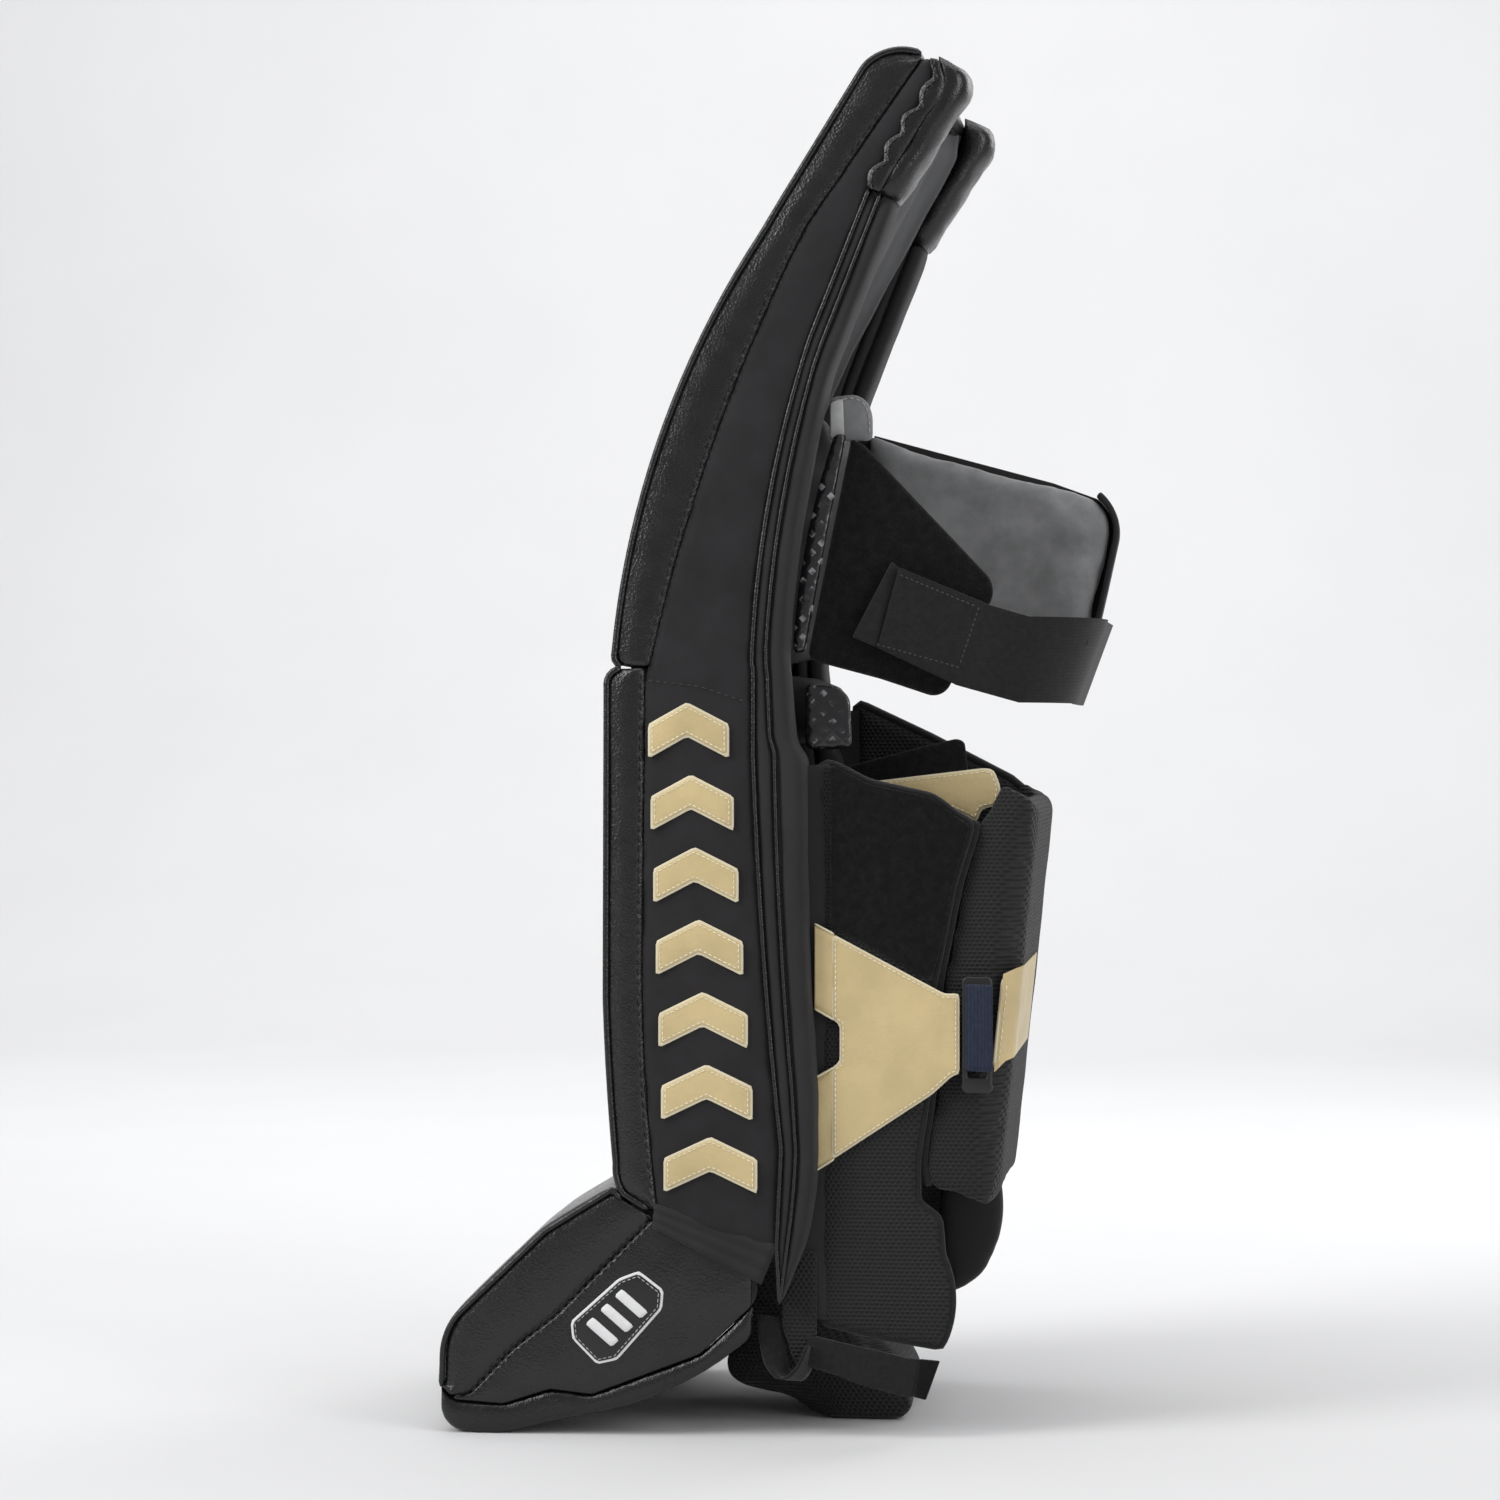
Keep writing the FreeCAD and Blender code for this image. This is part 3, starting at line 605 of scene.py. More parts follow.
def pillow(name, loop, half_mm, material, place=None, edge_mm=None, crown_mm=0.0, step_mm=4.0, warp=None):
    """A closed soft slab on an outline: a rounded rim and a crowned middle.

    warp(x, z, face) is how far a point of the outer (-1) or inner (+1) face moves along the
    slab's depth, in m.
    """
    place = place or Matrix.Identity(4)
    half, pitch = half_mm * MM, step_mm * MM
    edge = half if edge_mm is None else edge_mm * MM
    rim = [tuple(point) for point in spaced(loop + loop[:1], step_mm * 0.75)[:-1]]
    low, high = np.min(rim, axis=0), np.max(rim, axis=0)
    grid = []
    columns = range(int((high[0] - low[0]) / pitch) + 1)
    for row in range(int((high[1] - low[1]) / (pitch * 0.87)) + 1):
        z = low[1] + pitch * (0.4 + 0.87 * row)
        shift = 0.5 * (row % 2)
        grid += [(low[0] + pitch * (column + shift), z) for column in columns]
    points = [point for point, kept in zip(grid, are_inside(grid, rim)) if kept]
    bands = [share * edge for share in (0.1, 0.35, 0.7) if share * edge < pitch * 1.3]
    clear = max(bands[-1] + pitch * 0.45 if bands else 0, pitch * 0.55)
    gaps = rim_distances(points, rim) if points else []
    kept = [point for point, gap in zip(points, gaps) if gap > clear]
    for band in bands:
        row = [tuple(point) for point in inset(rim, band / MM)]
        gaps = rim_distances(row, rim)
        within = are_inside(row, rim)
        kept += [point for point, gap, good in zip(row, gaps, within) if good and gap > band * 0.8]
    every = [Vector(point) for point in rim + kept]
    sides = [(index, (index + 1) % len(rim)) for index in range(len(rim))]
    flat, _, triangles, _, _, _ = delaunay_2d_cdt(every, sides, [], 1, 1e-7)
    depth = rim_distances([tuple(point) for point in flat], rim)
    deepest = max(depth.max(), 1e-6)
    share = np.minimum(depth / edge, 1.0)
    thick = half * np.sqrt(np.maximum(0, 1 - (1 - share) ** 2))
    thick += crown_mm * MM * np.sin(np.minimum(depth / deepest, 1.0) * math.pi / 2)
    vertices = []
    for face in (-1, 1):
        for point, size in zip(flat, thick):
            moved = warp(point.x, point.y, face) if warp else 0.0
            vertices.append(place @ Vector((point.x, face * size + moved, point.y)))
    on_rim = depth < 0.002 * MM
    count = len(flat)
    faces = [tuple(triangle) for triangle in triangles]
    faces += [tuple(corner if on_rim[corner] else corner + count for corner in reversed(triangle))
              for triangle in triangles]
    item = mesh_object(name, vertices, faces, material)
    drop_loose(item)
    return item


def drop_loose(item):
    mesh = bmesh.new()
    mesh.from_mesh(item.data)
    loose = [vertex for vertex in mesh.verts if not vertex.link_faces]
    bmesh.ops.delete(mesh, geom=loose, context="VERTS")
    mesh.to_mesh(item.data)
    mesh.free()


def mirrored(item, name):
    """The same piece on the other side of the leg."""
    twin = item.copy()
    twin.data = item.data.copy()
    twin.name = twin.data.name = name
    twin.data.transform(Matrix.Scale(-1, 4, (0, 1, 0)))
    twin.data.flip_normals()
    bpy.context.scene.collection.objects.link(twin)
    return twin


def applied(item):
    """Turn an object's modifiers into its mesh."""
    graph = bpy.context.evaluated_depsgraph_get()
    mesh = bpy.data.meshes.new_from_object(item.evaluated_get(graph))
    item.modifiers.clear()
    old = item.data
    item.data = mesh
    mesh.name = item.name
    bpy.data.meshes.remove(old)
    mesh.shade_smooth()
    return item


def copied(node, name, material):
    """A new object with the CAD node's mesh, which the node itself keeps."""
    mesh = clean_mesh(node)
    data = bpy.data.meshes.new(name)
    mesh.to_mesh(data)
    mesh.free()
    data.materials.append(MATERIALS[material])
    item = bpy.data.objects.new(name, data)
    bpy.context.scene.collection.objects.link(item)
    return item


def strap(node, name, material, bevel_mm, wave_mm):
    """A strap or plate on its CAD node's shape, with rounded edges and a slight wave."""
    item = copied(node, name, material)
    mesh = bmesh.new()
    mesh.from_mesh(item.data)
    bmesh.ops.dissolve_limit(mesh, angle_limit=math.radians(1), verts=mesh.verts, edges=mesh.edges)
    mesh.to_mesh(item.data)
    mesh.free()
    bevel = item.modifiers.new("Rounded edges", "BEVEL")
    bevel.width = bevel_mm * MM
    bevel.segments = 3
    bevel.limit_method = "ANGLE"
    bevel.angle_limit = math.radians(50)
    applied(item)
    mesh = bmesh.new()
    mesh.from_mesh(item.data)
    bmesh.ops.triangulate(mesh, faces=mesh.faces)
    for _ in range(3):
        long_edges = [edge for edge in mesh.edges if edge.calc_length() > 6 * MM]
        if long_edges:
            bmesh.ops.subdivide_edges(mesh, edges=long_edges, cuts=1, use_grid_fill=False)
            bmesh.ops.triangulate(mesh, faces=mesh.faces)
    for vertex in mesh.verts:
        vertex.co.y += ripple(vertex.co, 24, wave_mm)
    mesh.to_mesh(item.data)
    mesh.free()
    item.data.shade_smooth()
    item.data.set_sharp_from_angle(angle=math.radians(40))
    return item


CLOTHS = []
FRAMES = 11                              # of the cloth run


def stuffed(node, name, material, voxel_mm=4.5, swell_mm=6, pressure=4.0, eased=6, creases=0.5):
    """A padded piece on its CAD node's shape: remeshed, eased, then blown up as cloth with a cap."""
    item = copied(node, name, material)
    remesh = item.modifiers.new("Even", "REMESH")
    remesh.mode = "VOXEL"
    remesh.voxel_size = voxel_mm * MM
    smooth = item.modifiers.new("Eased", "SMOOTH")
    smooth.iterations = eased
    smooth.factor = 0.5
    applied(item)
    CLOTHS.append((item, swell_mm, pressure, creases))
    return item


def blow_up():
    """One cloth simulation for every stuffed piece, then creases and one subdivision each."""
    still = {item: np.array([tuple(vertex.co) for vertex in item.data.vertices]) for item, *_ in CLOTHS}
    for item, _, pressure, _ in CLOTHS:
        if not pressure:
            continue
        cloth = item.modifiers.new("Cloth", "CLOTH")
        cloth.settings.use_pressure = True
        cloth.settings.uniform_pressure_force = pressure
        cloth.settings.effector_weights.gravity = 0
        cloth.settings.quality = 3
        cloth.point_cache.frame_start = 1
        cloth.point_cache.frame_end = FRAMES
    for step in range(1, FRAMES + 1):
        bpy.context.scene.frame_set(step)
    for item, swell, _, creases in CLOTHS:
        if item.modifiers:
            applied(item)
        moved = np.array([tuple(vertex.co) for vertex in item.data.vertices])
        shift = moved - still[item]
        size = np.linalg.norm(shift, axis=1, keepdims=True)
        shift *= np.minimum(1.0, swell * MM / np.maximum(size, 1e-9))
        for vertex, start, move in zip(item.data.vertices, still[item], shift):
            place = Vector(start + move)
            vertex.co = place + vertex.normal * ripple(place, 26, creases)
        subdivision = item.modifiers.new("Smooth", "SUBSURF")
        subdivision.levels = subdivision.render_levels = 1
        applied(item)
        for vertex in item.data.vertices:
            vertex.co.z = max(vertex.co.z, 0.0)
    bpy.context.scene.frame_set(1)


def finished(item, nodes):
    """The piece stands for the nodes named, which are hidden."""
    if nodes:
        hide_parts(*nodes)
    return item


def belongs(item, body, slot, *nodes, fill=None):
    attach(item, body)
    return finished(item, nodes)


def facing(name):
    """A piece's or node's name on the inner side."""
    return name.replace("outer", "inner")


def both(item, body, slot, *nodes, fill=None):
    """The outer piece and its mirror image; 'outer' in their names becomes 'inner'."""
    twin = mirrored(item, facing(item.name))
    belongs(item, body, slot, *nodes, fill=fill)
    belongs(twin, body, slot, *map(facing, nodes), fill=fill)


def strapped(node, name, body, slot, material, bevel_mm, wave_mm=0.25):
    """A strap or plate that takes its CAD node's place."""
    return belongs(strap(node, name, material, bevel_mm, wave_mm), body, slot, node)


def cushioned(node, name, body, slot, material, fill, *shape):
    """A stuffed piece that takes its CAD node's place; `shape` is the rest of what stuffed() takes."""
    return belongs(stuffed(node, name, material, *shape), body, slot, node, fill=fill)


# ------------------------------------------------------------------ the padded blocks


def face_cover(zone, front, seam, corner_mm=7, puff_mm=1.7, crown_mm=3.0, thick_mm=2.2):
    """Leather over one zone's face: from the stitch line forwards, round the front edge and across."""
    count = round(length_of(front, closed=False) / (4 * MM))
    outside, inside = [], []
    for front_point, seam_point in zip(softened(evenly(front, count)), softened(evenly(seam, count))):
        start = Vector(front_point)
        back = Vector(seam_point) - start
        band = back.length
        back.normalize()
        corner = min(corner_mm * MM, band * 0.5)
        flank = HALF - corner
        # each place: distance back, distance from the middle, and the normal's two parts
        profile = []
        for step in range(9):
            share = step / 8
            puff = puff_mm * MM * math.sin(math.pi * share) ** 0.8 - 1.4 * MM * (1 - share) ** 6
            profile.append((band + (corner - band) * share, HALF + puff, 0.0, 1.0))
        for step in range(1, 6):
            turn = math.pi / 2 * step / 5
            profile.append((corner - corner * math.sin(turn), flank + corner * math.cos(turn),
                            -math.sin(turn), math.cos(turn)))
        for step in range(1, 9):
            away = 1 - step / 8
            profile.append((-crown_mm * MM * (1 - away ** 2), flank * away, -1.0, 0.0))
        profile += [(gone, -out, way, -aside) for gone, out, way, aside in reversed(profile[:-1])]
        outer_row, inner_row = [], []
        for gone, out, way, aside in profile:
            flat_place = start + back * gone
            place = Vector((flat_place.x, -out, flat_place.y))
            normal = Vector((back.x * way, -aside, back.y * way))
            near_seam = math.exp(-max(0.0, band - gone) / (7 * MM)) * abs(aside)
            raised = ripple(place, 60, 0.6) + ripple(place, 7, 0.7) * near_seam
            outer_row.append(place + normal * raised)
            inner_row.append(place - normal * thick_mm * MM)
        outside.append(outer_row)
        inside.append(inner_row)
    item = shell(f"{zone}_face_leather", outside, inside, "black_leather")
    return belongs(item, zone, "black_leather", f"{zone}_face", fill=0.8)


def side_panel(name, front_line, rear_line, material, puff_mm=2.0, thick_mm=2.0, sunk_mm=1.3):
    """A padded panel on the outer side between two lines, pulled in at both of them."""
    count = round(length_of(front_line, closed=False) / (4 * MM))
    outside, inside = [], []
    for first, last in zip(softened(evenly(front_line, count)), softened(evenly(rear_line, count))):
        outer_row, inner_row = [], []
        for step in range(13):
            share = step / 12
            x, z = first + (last - first) * share
            dip = math.sin(math.pi * share) ** 0.45
            tight = 1 - dip
            place = Vector((x, -(HALF - sunk_mm * MM + (puff_mm + sunk_mm) * MM * dip), z))
            raised = ripple(place, 34, 1.1) * dip + ripple(place, 11, 1.6) * tight + ripple(place, 15, 0.5)
            outer_row.append(place - Vector((0, raised, 0)))
            inner_row.append(Vector((x, -(HALF - thick_mm * MM - sunk_mm * MM), z)))
        outside.append(outer_row)
        inside.append(inner_row)
    return shell(name, outside, inside, material)


def squared(value, power):
    """A sine or cosine bent so that a circle becomes squarish."""
    return math.copysign(abs(value) ** (2 / power), value)


def rib(name, front_line, rear_line, near, far, material, power=3.0, swell_mm=0.0, creases=0.5):
    """A long padded roll on the outer side: squarish rings between two lines, from y near to far."""
    count = round(length_of(front_line, closed=False) / (4 * MM))
    rings = []
    sides = 24
    middle, depth = (near + far) / 2, (far - near) / 2
    ends = zip(softened(evenly(front_line, count)), softened(evenly(rear_line, count)))
    for index, (first, last) in enumerate(ends):
        across = Vector(last - first)
        half_width = across.length / 2 + swell_mm * MM
        across.normalize()
        centre = Vector((first + last) / 2)
        tip = min(index, count - 1 - index)
        size = (0.80, 0.93, 0.98)[tip] if tip < 3 else 1.0
        ring = []
        for step in range(sides):
            turn = 2 * math.pi * step / sides
            reach = squared(math.cos(turn), power) * half_width * size
            aside = squared(math.sin(turn), power) * depth * size
            place = Vector((centre.x + across.x * reach, middle + aside, centre.y + across.y * reach))
            normal = Vector((across.x * math.cos(turn), math.sin(turn), across.y * math.cos(turn)))
            ring.append(place + normal * (ripple(place, 30, creases) + ripple(place, 11, creases * 0.5)))
        rings.append(ring)
    return loft(name, rings, material)


def between(first, second, share, count=120):
    """The line that runs a share of the way from one line to another."""
    first, second = evenly(first, count), evenly(second, count)
    return first + (second - first) * share


def lifted(line, out_mm, gap_mm=3):
    """A side-view line as a path that stands out_mm outside the pad's flat side."""
    return [Vector((x, -HALF - out_mm * MM, z)) for x, z in spaced(line, gap_mm)]


def crosses_knee(item, *nodes, slot="black_nylon", fill=None):
    """The outer piece and its mirror image, which run from the shin to the thigh across the knee break, with
    their transforms baked.
    """
    twin = mirrored(item, facing(item.name))
    for piece, stood_for in ((item, nodes), (twin, [facing(node) for node in nodes])):
        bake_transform(piece)
        finished(piece, stood_for)


def edge_piping(zone, front, seam, radius_mm):
    """Piping just behind the front edge of one zone's face."""
    line = lifted(between(front, seam, 0.07), -0.3)
    both(cord(f"{zone}_outer_edge_piping", line, radius_mm, "edge_leather"), zone, "black_leather")


def edge_rolls(front_line, rear_line):
    """The rear edge of the pad: two padded ridges with piping before, between and behind them."""
    middle = between(front_line, rear_line, 0.42, 260)
    for row, first, last in (("front", front_line, middle), ("rear", middle, rear_line)):
        nodes = ["shin_outer_binding", "thigh_outer_binding"] if row == "front" else []
        item = rib(f"pad_outer_{row}_ridge", first, last, -HALF - 0.5 * MM, -HALF + 38 * MM,
                   "rear_nylon", 3.0, 0.8)
        crosses_knee(item, *nodes, fill=0.7)
    for row, line, radius in (("seam", front_line, 1.6), ("middle", middle, 1.3)):
        piping = cord(f"pad_outer_{row}_piping", lifted(line, 0.4), radius, "edge_leather")
        crosses_knee(piping, slot="black_leather")


def channel_lining(zone, line, half_width, material):
    """Quilted lining between the rolls: channels that run up the pad, and edges that turn up."""
    outside, inside = [], []
    for x, z in spaced(line, 5):
        outer_row, inner_row = [], []
        for step in range(49):
            share = step / 24 - 1
            y = share * half_width
            quilt = abs(math.sin(math.pi * 2.5 * (share + 1))) ** 0.6
            place = Vector((x + (2.6 * quilt + 10 * share ** 8) * MM, y, z))
            outer_row.append(place + Vector((ripple(place, 28, 1.0), 0, 0)))
            inner_row.append(Vector((x - 2 * MM, y, z)))
        outside.append(outer_row)
        inside.append(inner_row)
    item = shell(f"{zone}_channel_lining", outside, inside, material)
    return belongs(item, zone, "grey_lining", f"{zone}_lining", fill=0.5)


def make_thigh_and_shin():
    thigh_front = side_line("thigh_face", (-97, 491.5), (96, 878))
    thigh_stitch = side_line("thigh_face", (-77, 491.5), (96, 873), True)
    shin_front = side_line("shin_face", (-79, 145), (-97, 489.5))
    shin_stitch = side_line("shin_face", (-72, 145), (-80, 489.5), True)
    thigh_seam = side_line("thigh_outer_side", (-12, 491.5), (107, 872), True)
    shin_seam = side_line("shin_outer_side", (4, 122), (-11, 489.5), True)
    for zone, front, stitch in (("thigh", thigh_front, thigh_stitch), ("shin", shin_front, shin_stitch)):
        face_cover(zone, front, stitch)
        edge_piping(zone, front, stitch, 2.1)

    panel = side_panel("pad_outer_side_nylon", shin_stitch + thigh_stitch, shin_seam + thigh_seam,
                       "black_nylon")
    crosses_knee(panel, "shin_outer_side", "thigh_outer_side", fill=0.5)
    binding_foot = [(6 * MM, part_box("shin_outer_binding")[0].z)]
    binding_front = binding_foot + shin_seam + side_line("thigh_outer_binding", (-12, 491.5), (63, 793))
    binding_rear = (binding_foot + side_line("shin_outer_binding", (19, 118), (10, 489.5), True)
                    + side_line("thigh_outer_binding", (9, 495), (80, 785), True))
    edge_rolls(binding_front, binding_rear)

    near, far = -HALF + 3 * MM, -HALF + 42 * MM
    for zone, front, rear in (
            ("thigh", side_line("thigh_outer_roll", (-48, 494), (88, 846)), thigh_seam),
            ("shin", side_line("shin_outer_roll", (-51, 141), (-51, 487)), shin_seam)):
        roll = rib(f"{zone}_outer_roll_nylon", front, rear, near, far, "rear_nylon", 6, 0, 0.7)
        both(roll, zone, "black_nylon", f"{zone}_outer_roll", fill=0.6)
    thigh_lining = side_line("thigh_lining", (-44, 494), (92, 846), True)
    thigh_lining.append((94.5 * MM, 0.872))
    channel_lining("thigh", thigh_lining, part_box("thigh_lining")[1].y, "grey_lining")
    shin_lining = side_line("shin_lining", (-47, 141), (-47, 487), True)
    channel_lining("shin", shin_lining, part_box("shin_lining")[1].y, "black_mesh")
    for zone, line in (("thigh", thigh_stitch), ("shin", shin_stitch)):
        ahead = [(x - 2.4 * MM, z) for x, z in line]
        row = stitches(f"{zone}_outer_face_stitches", lifted(ahead, 0.9), "dark_thread",
                       length=4.4, gap=2.6, thick=0.55)
        both(row, zone, "black_leather")


def make_knee_break():
    """Dark cloth that closes the break between the two leather faces from behind."""
    path = [Vector((-85 * MM, y, 0.4905)) for y in np.linspace(-HALF + 5 * MM, HALF - 5 * MM, 60)]
    item = cord("knee_break_cloth", path, 6, "black_nylon", up=(0, 0, 1), sides=12)
    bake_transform(item)


def make_side_seam():
    """The faint stitched seam across the side nylon just below the knee break."""
    path = lifted([(-78 * MM, 0.482), (-45 * MM, 0.478), (-15 * MM, 0.468)], 2.3)
    row = stitches("pad_outer_side_seam", path, "dull_thread", length=3.2, gap=2.2, thick=0.35)
    both(row, "shin", "black_nylon")


def make_caps():
    """Leather caps over the top ends of the rear edges, with a stitched scalloped hem."""
    front = side_line("thigh_outer_cap", (63, 793), (107, 872))
    rear = side_line("thigh_outer_cap", (80, 785), (107, 875), True)
    cap = rib("thigh_outer_cap_leather", between(front, rear, 0.10), rear, -HALF - 4 * MM, -HALF + 41 * MM,
              "edge_leather", 2.6, 2.6, 2.4)
    both(cap, "thigh", "black_leather", "thigh_outer_cap", fill=0.6)
    line = spaced(front, 2)
    hem = []
    for index, (x, z) in enumerate(line):
        wave = abs(math.sin(math.pi * 4.5 * index / (len(line) - 1)))
        hem.append((x - (1 + 4.5 * wave) * MM, z + 2.2 * wave * MM))
    under = [tuple(point) for point in spaced(between(front, rear, 0.40), 4)]
    patch = pillow("thigh_outer_cap_hem", hem + under[::-1], 1.3, "edge_leather",
                   level(-HALF / MM - 2.8), 1.6, 1.4, 3,
                   lambda x, z, face: ripple((x, face, z), 12, 0.8))
    both(patch, "thigh", "black_leather", fill=0.3)
    sewn = [Vector((x + 3.2 * MM, -HALF - 5.6 * MM, z - 1.6 * MM)) for x, z in hem]
    both(stitches("thigh_outer_cap_stitches", sewn, "dull_thread", thick=0.5), "thigh", "black_leather")
    across = [Vector((99 * MM, side, 0.868)) for side in np.linspace(-HALF + 4 * MM, HALF - 4 * MM, 60)]
    top = cord("thigh_top_edge_roll", across, 7.5, "edge_leather", up=(0, 0, 1), sides=16)
    belongs(top, "thigh", "black_leather", fill=0.6)


def make_boot_block():
    front = side_line("boot_face", (-97, 151.5), (-213, 30))
    seam = side_line("boot_face", (-79, 141.5), (-205, 24), True)
    face_cover("boot", front, seam, corner_mm=10, puff_mm=1.6)
    place, outlines, half = slab("boot_outer_side")
    side = pillow("boot_outer_side_leather", rounded(outlines[0], 2), half / MM, "black_leather", place,
                  9, 1.6, 4, lambda x, z, face: ripple((x, 0, z), 30, 0.9))
    both(side, "boot", "black_leather", "boot_outer_side", fill=0.5)
    for node in ("boot_outer_wall", "boot_inner_wall"):
        cushioned(node, f"{node}_nylon", "boot", "black_nylon", "rear_nylon", 0.6, 5, 0.5, 0, 5, 0.3)
    cushioned("boot_binding", "boot_toe_binding", "boot", "black_leather", "edge_leather", 0.7,
              3, 1.5, 0, 8, 0.5)
    row = stitches("boot_outer_face_stitches", lifted(seam, 1.2), "dark_thread",
                   length=4.2, gap=2.2, thick=0.55)
    both(row, "boot", "black_leather")
    edge_piping("boot", front, seam, 1.9)
    make_boot_panel(front)


def make_boot_panel(front):
    """A plain gold panel sewn on the boot's face, at the inner side."""
    line = [place for place in spaced(front, 4) if -128 * MM < place[0] < -100 * MM]
    outside, inside = [], []
    for x, z in line:
        rows = [Vector((x, y, z)) for y in np.linspace(0.035, 0.120, 24)]
        out = Vector((-0.72, 0, 0.69))
        outside.append([place + out * 5.2 * MM for place in rows])
        inside.append([place + out * 0.5 * MM for place in rows])
    item = shell("boot_face_gold_panel", outside, inside, "gold_leather")
    belongs(item, "boot", "gold_leather")


# ------------------------------------------------------------------ sewn shapes


def appliques(name, node, body, margin_mm, lift_mm, corner_mm=1.5, toward=(0, -1, 0), slot="gold_leather",
              finishes=("gold_leather", "cream_edge", "pale_thread")):
    """Each outline of a node as a sewn shape: a backing, a smaller top layer and stitches.

    The backing shows as an edge round the top layer.
    """
    top, edge, thread = finishes
    place, outlines, half = slab(node, toward)
    out = place.to_3x3() @ Vector((0, -1, 0))
    backs, fronts, threads = [], [], []

    def layer(label, outline, material, lift, crown_mm):
        rise = lambda x, z, face: -lift * MM if face < 0 else 0.0
        return pillow(label, rounded(outline, corner_mm), half / MM, material, place, 1.0, crown_mm, 4, rise)

    for index, outline in enumerate(outlines):
        label = f"{name}_{index + 1}"
        backs.append(layer(f"{label}_edging", outline, edge, lift_mm, 0.2))
        fronts.append(layer(f"{label}_top", inset(outline, margin_mm), top, lift_mm + 0.7, 0.4))
        sewn = inset(outline, margin_mm + 1.4)
        path = placed(sewn + sewn[:1], place, -(half + (lift_mm + 0.95) * MM))
        threads.append(stitches(f"{label}_stitches", path, thread, out, 2.6, 1.2, 0.3))
    for index, piece in enumerate(backs + fronts + threads):
        belongs(piece, body, slot, *([node] if index == 0 else []))


def make_emblems():
    appliques("side_chevron", "side_emblems", "shin", 1.5, 2.4)
    appliques("face_bar", "face_bars", "shin", 2.2, 3.2, toward=(-1, 0, 0))
    appliques("boot_badge", "boot_badge", "boot", 1.6, 1.6, slot="badge",
              finishes=("badge_dark", "badge_white", "grey_thread"))
    low, high = mm_box("boot_badge")
    middle = (low + high) / 2
    corners = (-11, 5), (-6, 9.5), (11, -5), (6, -9.5)          # of one bar, from its middle
    for index, shift in enumerate((-13, 0, 13)):
        x, z = middle.x + shift * 0.72, middle.z + shift * 0.70
        bar = rounded(mm_outline(*((x + along, z + up) for along, up in corners)), 1)
        piece = pillow(f"boot_badge_bar_{index + 1}", bar, 0.8, "badge_white", level(low.y - 2.7), 0.8, 0.3, 3)
        belongs(piece, "boot", "badge")


# ------------------------------------------------------------------ the leg channel


def make_grey_tab():
    """The grey tab above the knee flap, with a stitched rim and a pale label."""
    loop = rounded(mm_outline((34, 636), (34, 664), (51, 666), (59, 661), (62, 652), (62, 636)), 4)
    place = level(-103)
    tab = pillow("knee_grey_tab", loop, 1.6, "grey_suede", place, 1.4, 0.3, 3,
                 lambda x, z, face: ripple((x, 0, z), 22, 1.2))
    sewn = placed([(x, z) for x, z in inset(loop, 2.2) if z > 0.640], place, -2.3 * MM)
    row = stitches("knee_grey_tab_stitches", sewn, "grey_thread", thick=0.4)
    label = rounded(mm_outline((35, 637), (35, 661), (43, 663), (44, 638)), 1)
    label = pillow("knee_tab_label", label, 0.6, "pale_label", level(-106.8), 0.6)
    for piece in (tab, row, label):
        belongs(piece, "thigh", "grey_suede")


def make_knee_supports():
    cushioned("knee_cradle", "knee_cradle_pad", "thigh", "black_nylon", "rear_nylon", 0.6, 6, 5, 6, 5)
    place, outlines, half = slab("knee_anchor_strip")
    strip = pillow("knee_anchor_strip_print", rounded(outlines[0], 3), half / MM, "patterned_strip", place,
                   2.5, 0.6, 4, lambda x, z, face: ripple((x, 0, z), 13, 1.0))
    belongs(strip, "thigh", "patterned_strip", "knee_anchor_strip")
    make_grey_tab()
    patch = rounded(mm_outline((18, 438), (18, 480), (40, 478), (47, 471), (48, 438)), 5)
    patch = pillow("calf_patterned_patch", patch, 1.6, "patterned_strip", level(-100), 1.5, 0.4, 3,
                   lambda x, z, face: ripple((x, 0, z), 16, 1.0))
    belongs(patch, "shin", "patterned_strip")
    cushioned("calf_top_pad", "calf_top_block", "shin", "black_nylon", "rear_nylon", 0.7, 5, 4, 6, 4)
    cushioned("heel_liner", "heel_liner_mesh", "shin", "black_mesh", "black_mesh", 0.5, 6, 4, 6, 5)
    strapped("heel_strap_anchor", "heel_strap_plate", "shin", "black_leather", "black_mesh", 1.6, 0.8)
    make_hanging_loop()


def make_hanging_loop():
    """A short elastic band that hangs from the binding's foot in a half-twisted loop."""
    band = (-2, -124, 76), (0, -127, 58), (4, -130, 44), (12, -131, 37), (20, -130, 44), (24, -128, 58)
    path = [Vector(place) for place in curve(band, 1.5)]
    outside, inside = [], []
    for index, place in enumerate(path):
        share = index / (len(path) - 1)
        turn = math.radians(12 + 70 * share ** 1.5)
        way = Vector((math.cos(turn), math.sin(turn), -0.15)).normalized()
        ahead = path[min(index + 1, len(path) - 1)] - path[max(index - 1, 0)]
        out = ahead.cross(way).normalized()
        reach = [(step / 3 - 1) * 8.5 * MM for step in range(7)]
        outside.append([place + way * step + out * 0.8 * MM for step in reach])
        inside.append([place + way * step - out * 0.8 * MM for step in reach])
    item = shell("hanging_loop_elastic", outside, inside, "black_elastic")
    belongs(item, "shin", "black_elastic", "hanging_loop")


def make_knee_wing():
    cushioned("knee_wing_pad", "knee_wing_suede", "knee_wing", "grey_suede", "grey_suede", 0.7,
              5, 4.5, 6, 3, 0.8)
    nylon = "knee_wing", "black_nylon", "rear_nylon"
    strapped("knee_wing_binding", "knee_wing_rear_edge", *nylon, 1.8)
    strapped("knee_wing_backing", "knee_wing_back_cloth", *nylon, 0.5)


